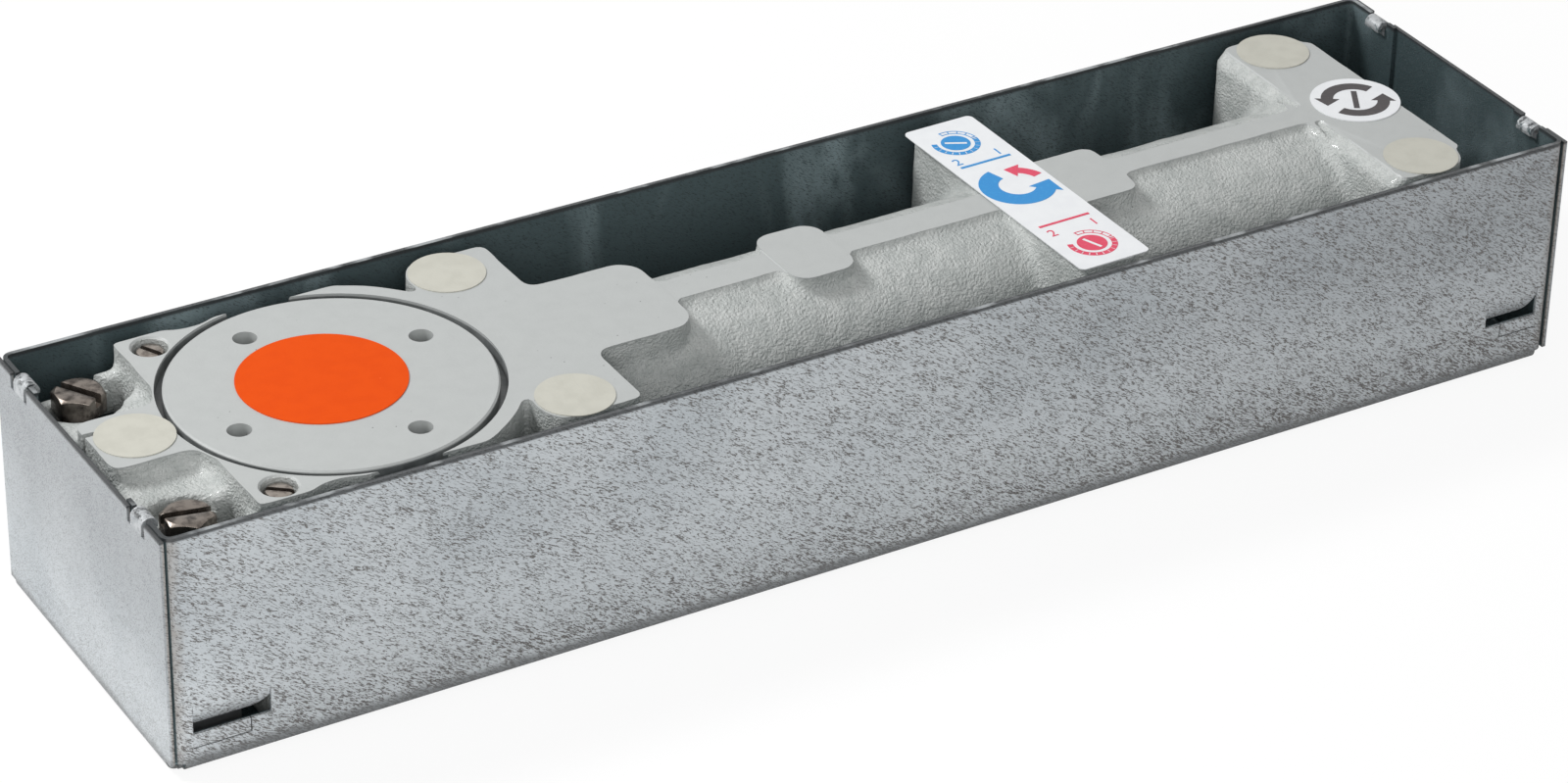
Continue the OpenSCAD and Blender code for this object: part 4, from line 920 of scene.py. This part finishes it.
def printValveLabel():
    form = valvePrint
    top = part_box("valve_label")[1][2] + labelInk["thickness"] / 2
    place = (form["place"][0], form["place"][1], top)
    swing, line = form["swing"], form["line"]
    blue = inkFinish("blueInk", labelInk["blue"], linear(30, 140, 200))
    crimson = inkFinish("crimsonInk", labelInk["crimson"], linear(214, 74, 102))
    blueShapes = dial(form["rearDial"], form["rearSlot"]) + [
        ring(*form["blueArc"], swing, 60), arrowHead(swing, *form["blueHead"]),
        bar((form["lineAt"], 0.0), *line, 0)]
    crimsonShapes = dial(form["frontDial"], form["frontSlot"]) + [
        ring(*form["crimsonArc"], swing, 16), arrowHead(swing, *form["crimsonHead"]),
        bar((-form["lineAt"], 0.0), *line, 0)]
    inkPiece("valve_print_blue", blueShapes, blue, place, form["turn"], "valve_label",
             numbers=form["rearNumbers"])
    inkPiece("valve_print_crimson", crimsonShapes, crimson, place, form["turn"], "valve_label",
             numbers=form["frontNumbers"])


directionPrint = {"outer": 0.0084, "inner": 0.0054, "sweep": 123, "starts": (25, 205),
                  "headLength": 0.0036, "headWidth": 0.0060, "slot": (0.0088, 0.0014), "slotTurn": 60}


def printDirectionLabel():
    form = directionPrint
    low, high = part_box("direction_label")
    place = ((low[0] + high[0]) / 2, (low[1] + high[1]) / 2, high[2] + labelInk["thickness"] / 2)
    dark = inkFinish("darkInk", labelInk["black"], linear(60, 50, 50))
    shapes = []
    for start in form["starts"]:
        end = start + form["sweep"]
        shapes.append(ring(form["outer"], form["inner"], start, end))
        shapes.append(arrowHead((0, 0), (form["outer"] + form["inner"]) / 2, end + 0.2,
                                form["headLength"], form["headWidth"]))
    shapes.append(bar((0, 0), *form["slot"], form["slotTurn"]))
    inkPiece("direction_print", shapes, dark, place, 0, "housing")


casting = makeCasting()
print("casting finished:", len(casting.data.polygons), "faces")
makeBolts()
makeFlaps()
makeSpring()
makeLevelScrew("level_screw_front", "level_front")
makeLevelScrew("level_screw_rear", "level_rear")
print("bolts and screws made")
printValveLabel()
printDirectionLabel()
print("labels printed")


# stage, light and camera

stageLook = {
    "floor": (0.92, 0.92, 0.92, 1), "size": 8.0, "place": (0.12, 0, -0.0004), "glow": 0.9, "world": 0.47,
    # place, target, size in metres and power in watts
    "keyLamp": ((-0.6, 0.55, 0.98), (0.1, 0, 0.03), 0.3, 14.0),
    "frontFill": ((-0.42, -0.95, 0.5), (0.0, 0, 0.03), 0.6, 5.2),
}


def makeStage():
    bpy.ops.object.select_all(action="DESELECT")
    bpy.ops.mesh.primitive_plane_add(size=stageLook["size"], location=stageLook["place"])
    floor = bpy.context.object
    floor.name = "floor"
    paper = bpy.data.materials.new("floorPaper")
    paper.use_nodes = True
    tree = paper.node_tree
    shader = tree.nodes["Principled BSDF"]
    shader.inputs["Base Color"].default_value = stageLook["floor"]
    shader.inputs["Roughness"].default_value = 0.9
    shader.inputs["Specular IOR Level"].default_value = 0.0
    glow = tree.nodes.new("ShaderNodeEmission")
    glow.inputs["Color"].default_value = (1, 1, 1, 1)
    ray = tree.nodes.new("ShaderNodeLightPath")
    blend = tree.nodes.new("ShaderNodeMixShader")
    share = tree.nodes.new("ShaderNodeMath")
    share.operation = "MULTIPLY"
    share.inputs[1].default_value = stageLook["glow"]
    tree.links.new(ray.outputs["Is Camera Ray"], share.inputs[0])
    tree.links.new(share.outputs[0], blend.inputs[0])
    tree.links.new(shader.outputs[0], blend.inputs[1])
    tree.links.new(glow.outputs[0], blend.inputs[2])
    tree.links.new(blend.outputs[0], tree.nodes["Material Output"].inputs["Surface"])
    floor.data.materials.append(paper)


def makeWorld():
    # white where the camera, glass or gloss sees it, dimmer as a light
    world = bpy.data.worlds.new("studio")
    bpy.context.scene.world = world
    world.use_nodes = True
    tree = world.node_tree
    sky = tree.nodes["Background"]
    sky.inputs["Color"].default_value = (1, 1, 1, 1)
    ray = tree.nodes.new("ShaderNodeLightPath")
    seen = tree.nodes.new("ShaderNodeMath")
    seen.operation = "MAXIMUM"
    tree.links.new(ray.outputs["Is Camera Ray"], seen.inputs[0])
    clear = tree.nodes.new("ShaderNodeMath")
    clear.operation = "MAXIMUM"
    tree.links.new(ray.outputs["Is Glossy Ray"], clear.inputs[0])
    tree.links.new(ray.outputs["Is Transmission Ray"], clear.inputs[1])
    tree.links.new(clear.outputs[0], seen.inputs[1])
    level = tree.nodes.new("ShaderNodeMapRange")
    tree.links.new(seen.outputs[0], level.inputs["Value"])
    level.inputs["To Min"].default_value = stageLook["world"]
    level.inputs["To Max"].default_value = 1.0
    tree.links.new(level.outputs["Result"], sky.inputs["Strength"])


def addLamp(name, place, target, size, power):
    lampData = bpy.data.lights.new(name, "AREA")
    lampData.size = size
    lampData.energy = power
    lamp = bpy.data.objects.new(name, lampData)
    bpy.context.scene.collection.objects.link(lamp)
    lamp.location = place
    lamp.rotation_euler = (Vector(target) - Vector(place)).to_track_quat("-Z", "Y").to_euler()


cameraLook = {
    "place": (-0.41488, -0.88304, 0.64463), "azimuth": 31.018, "elevation": 31.129,
    "roll": 1.191, "lens": 118.41975,
}


def makeCamera():
    azimuth = math.radians(cameraLook["azimuth"])
    elevation = math.radians(cameraLook["elevation"])
    roll = math.radians(cameraLook["roll"])
    forward = Vector((math.sin(azimuth) * math.cos(elevation),
                      math.cos(azimuth) * math.cos(elevation), -math.sin(elevation)))
    right = Vector((math.cos(azimuth), -math.sin(azimuth), 0))
    up = right.cross(forward)
    rolledRight = right * math.cos(roll) + up * math.sin(roll)
    rolledUp = up * math.cos(roll) - right * math.sin(roll)
    camera = bpy.data.objects.new("camera", bpy.data.cameras.new("camera"))
    bpy.context.scene.collection.objects.link(camera)
    turn = Matrix((rolledRight, rolledUp, -forward)).transposed()
    camera.matrix_world = Matrix.Translation(Vector(cameraLook["place"])) @ turn.to_4x4()
    camera.data.lens = cameraLook["lens"]
    camera.data.clip_end = 50
    bpy.context.scene.camera = camera


makeStage()
makeWorld()
for lampName in ("keyLamp", "frontFill"):
    addLamp(lampName, *stageLook[lampName])
makeCamera()
bpy.context.scene.view_settings.view_transform = "Standard"
print("stage, lamps and camera set")
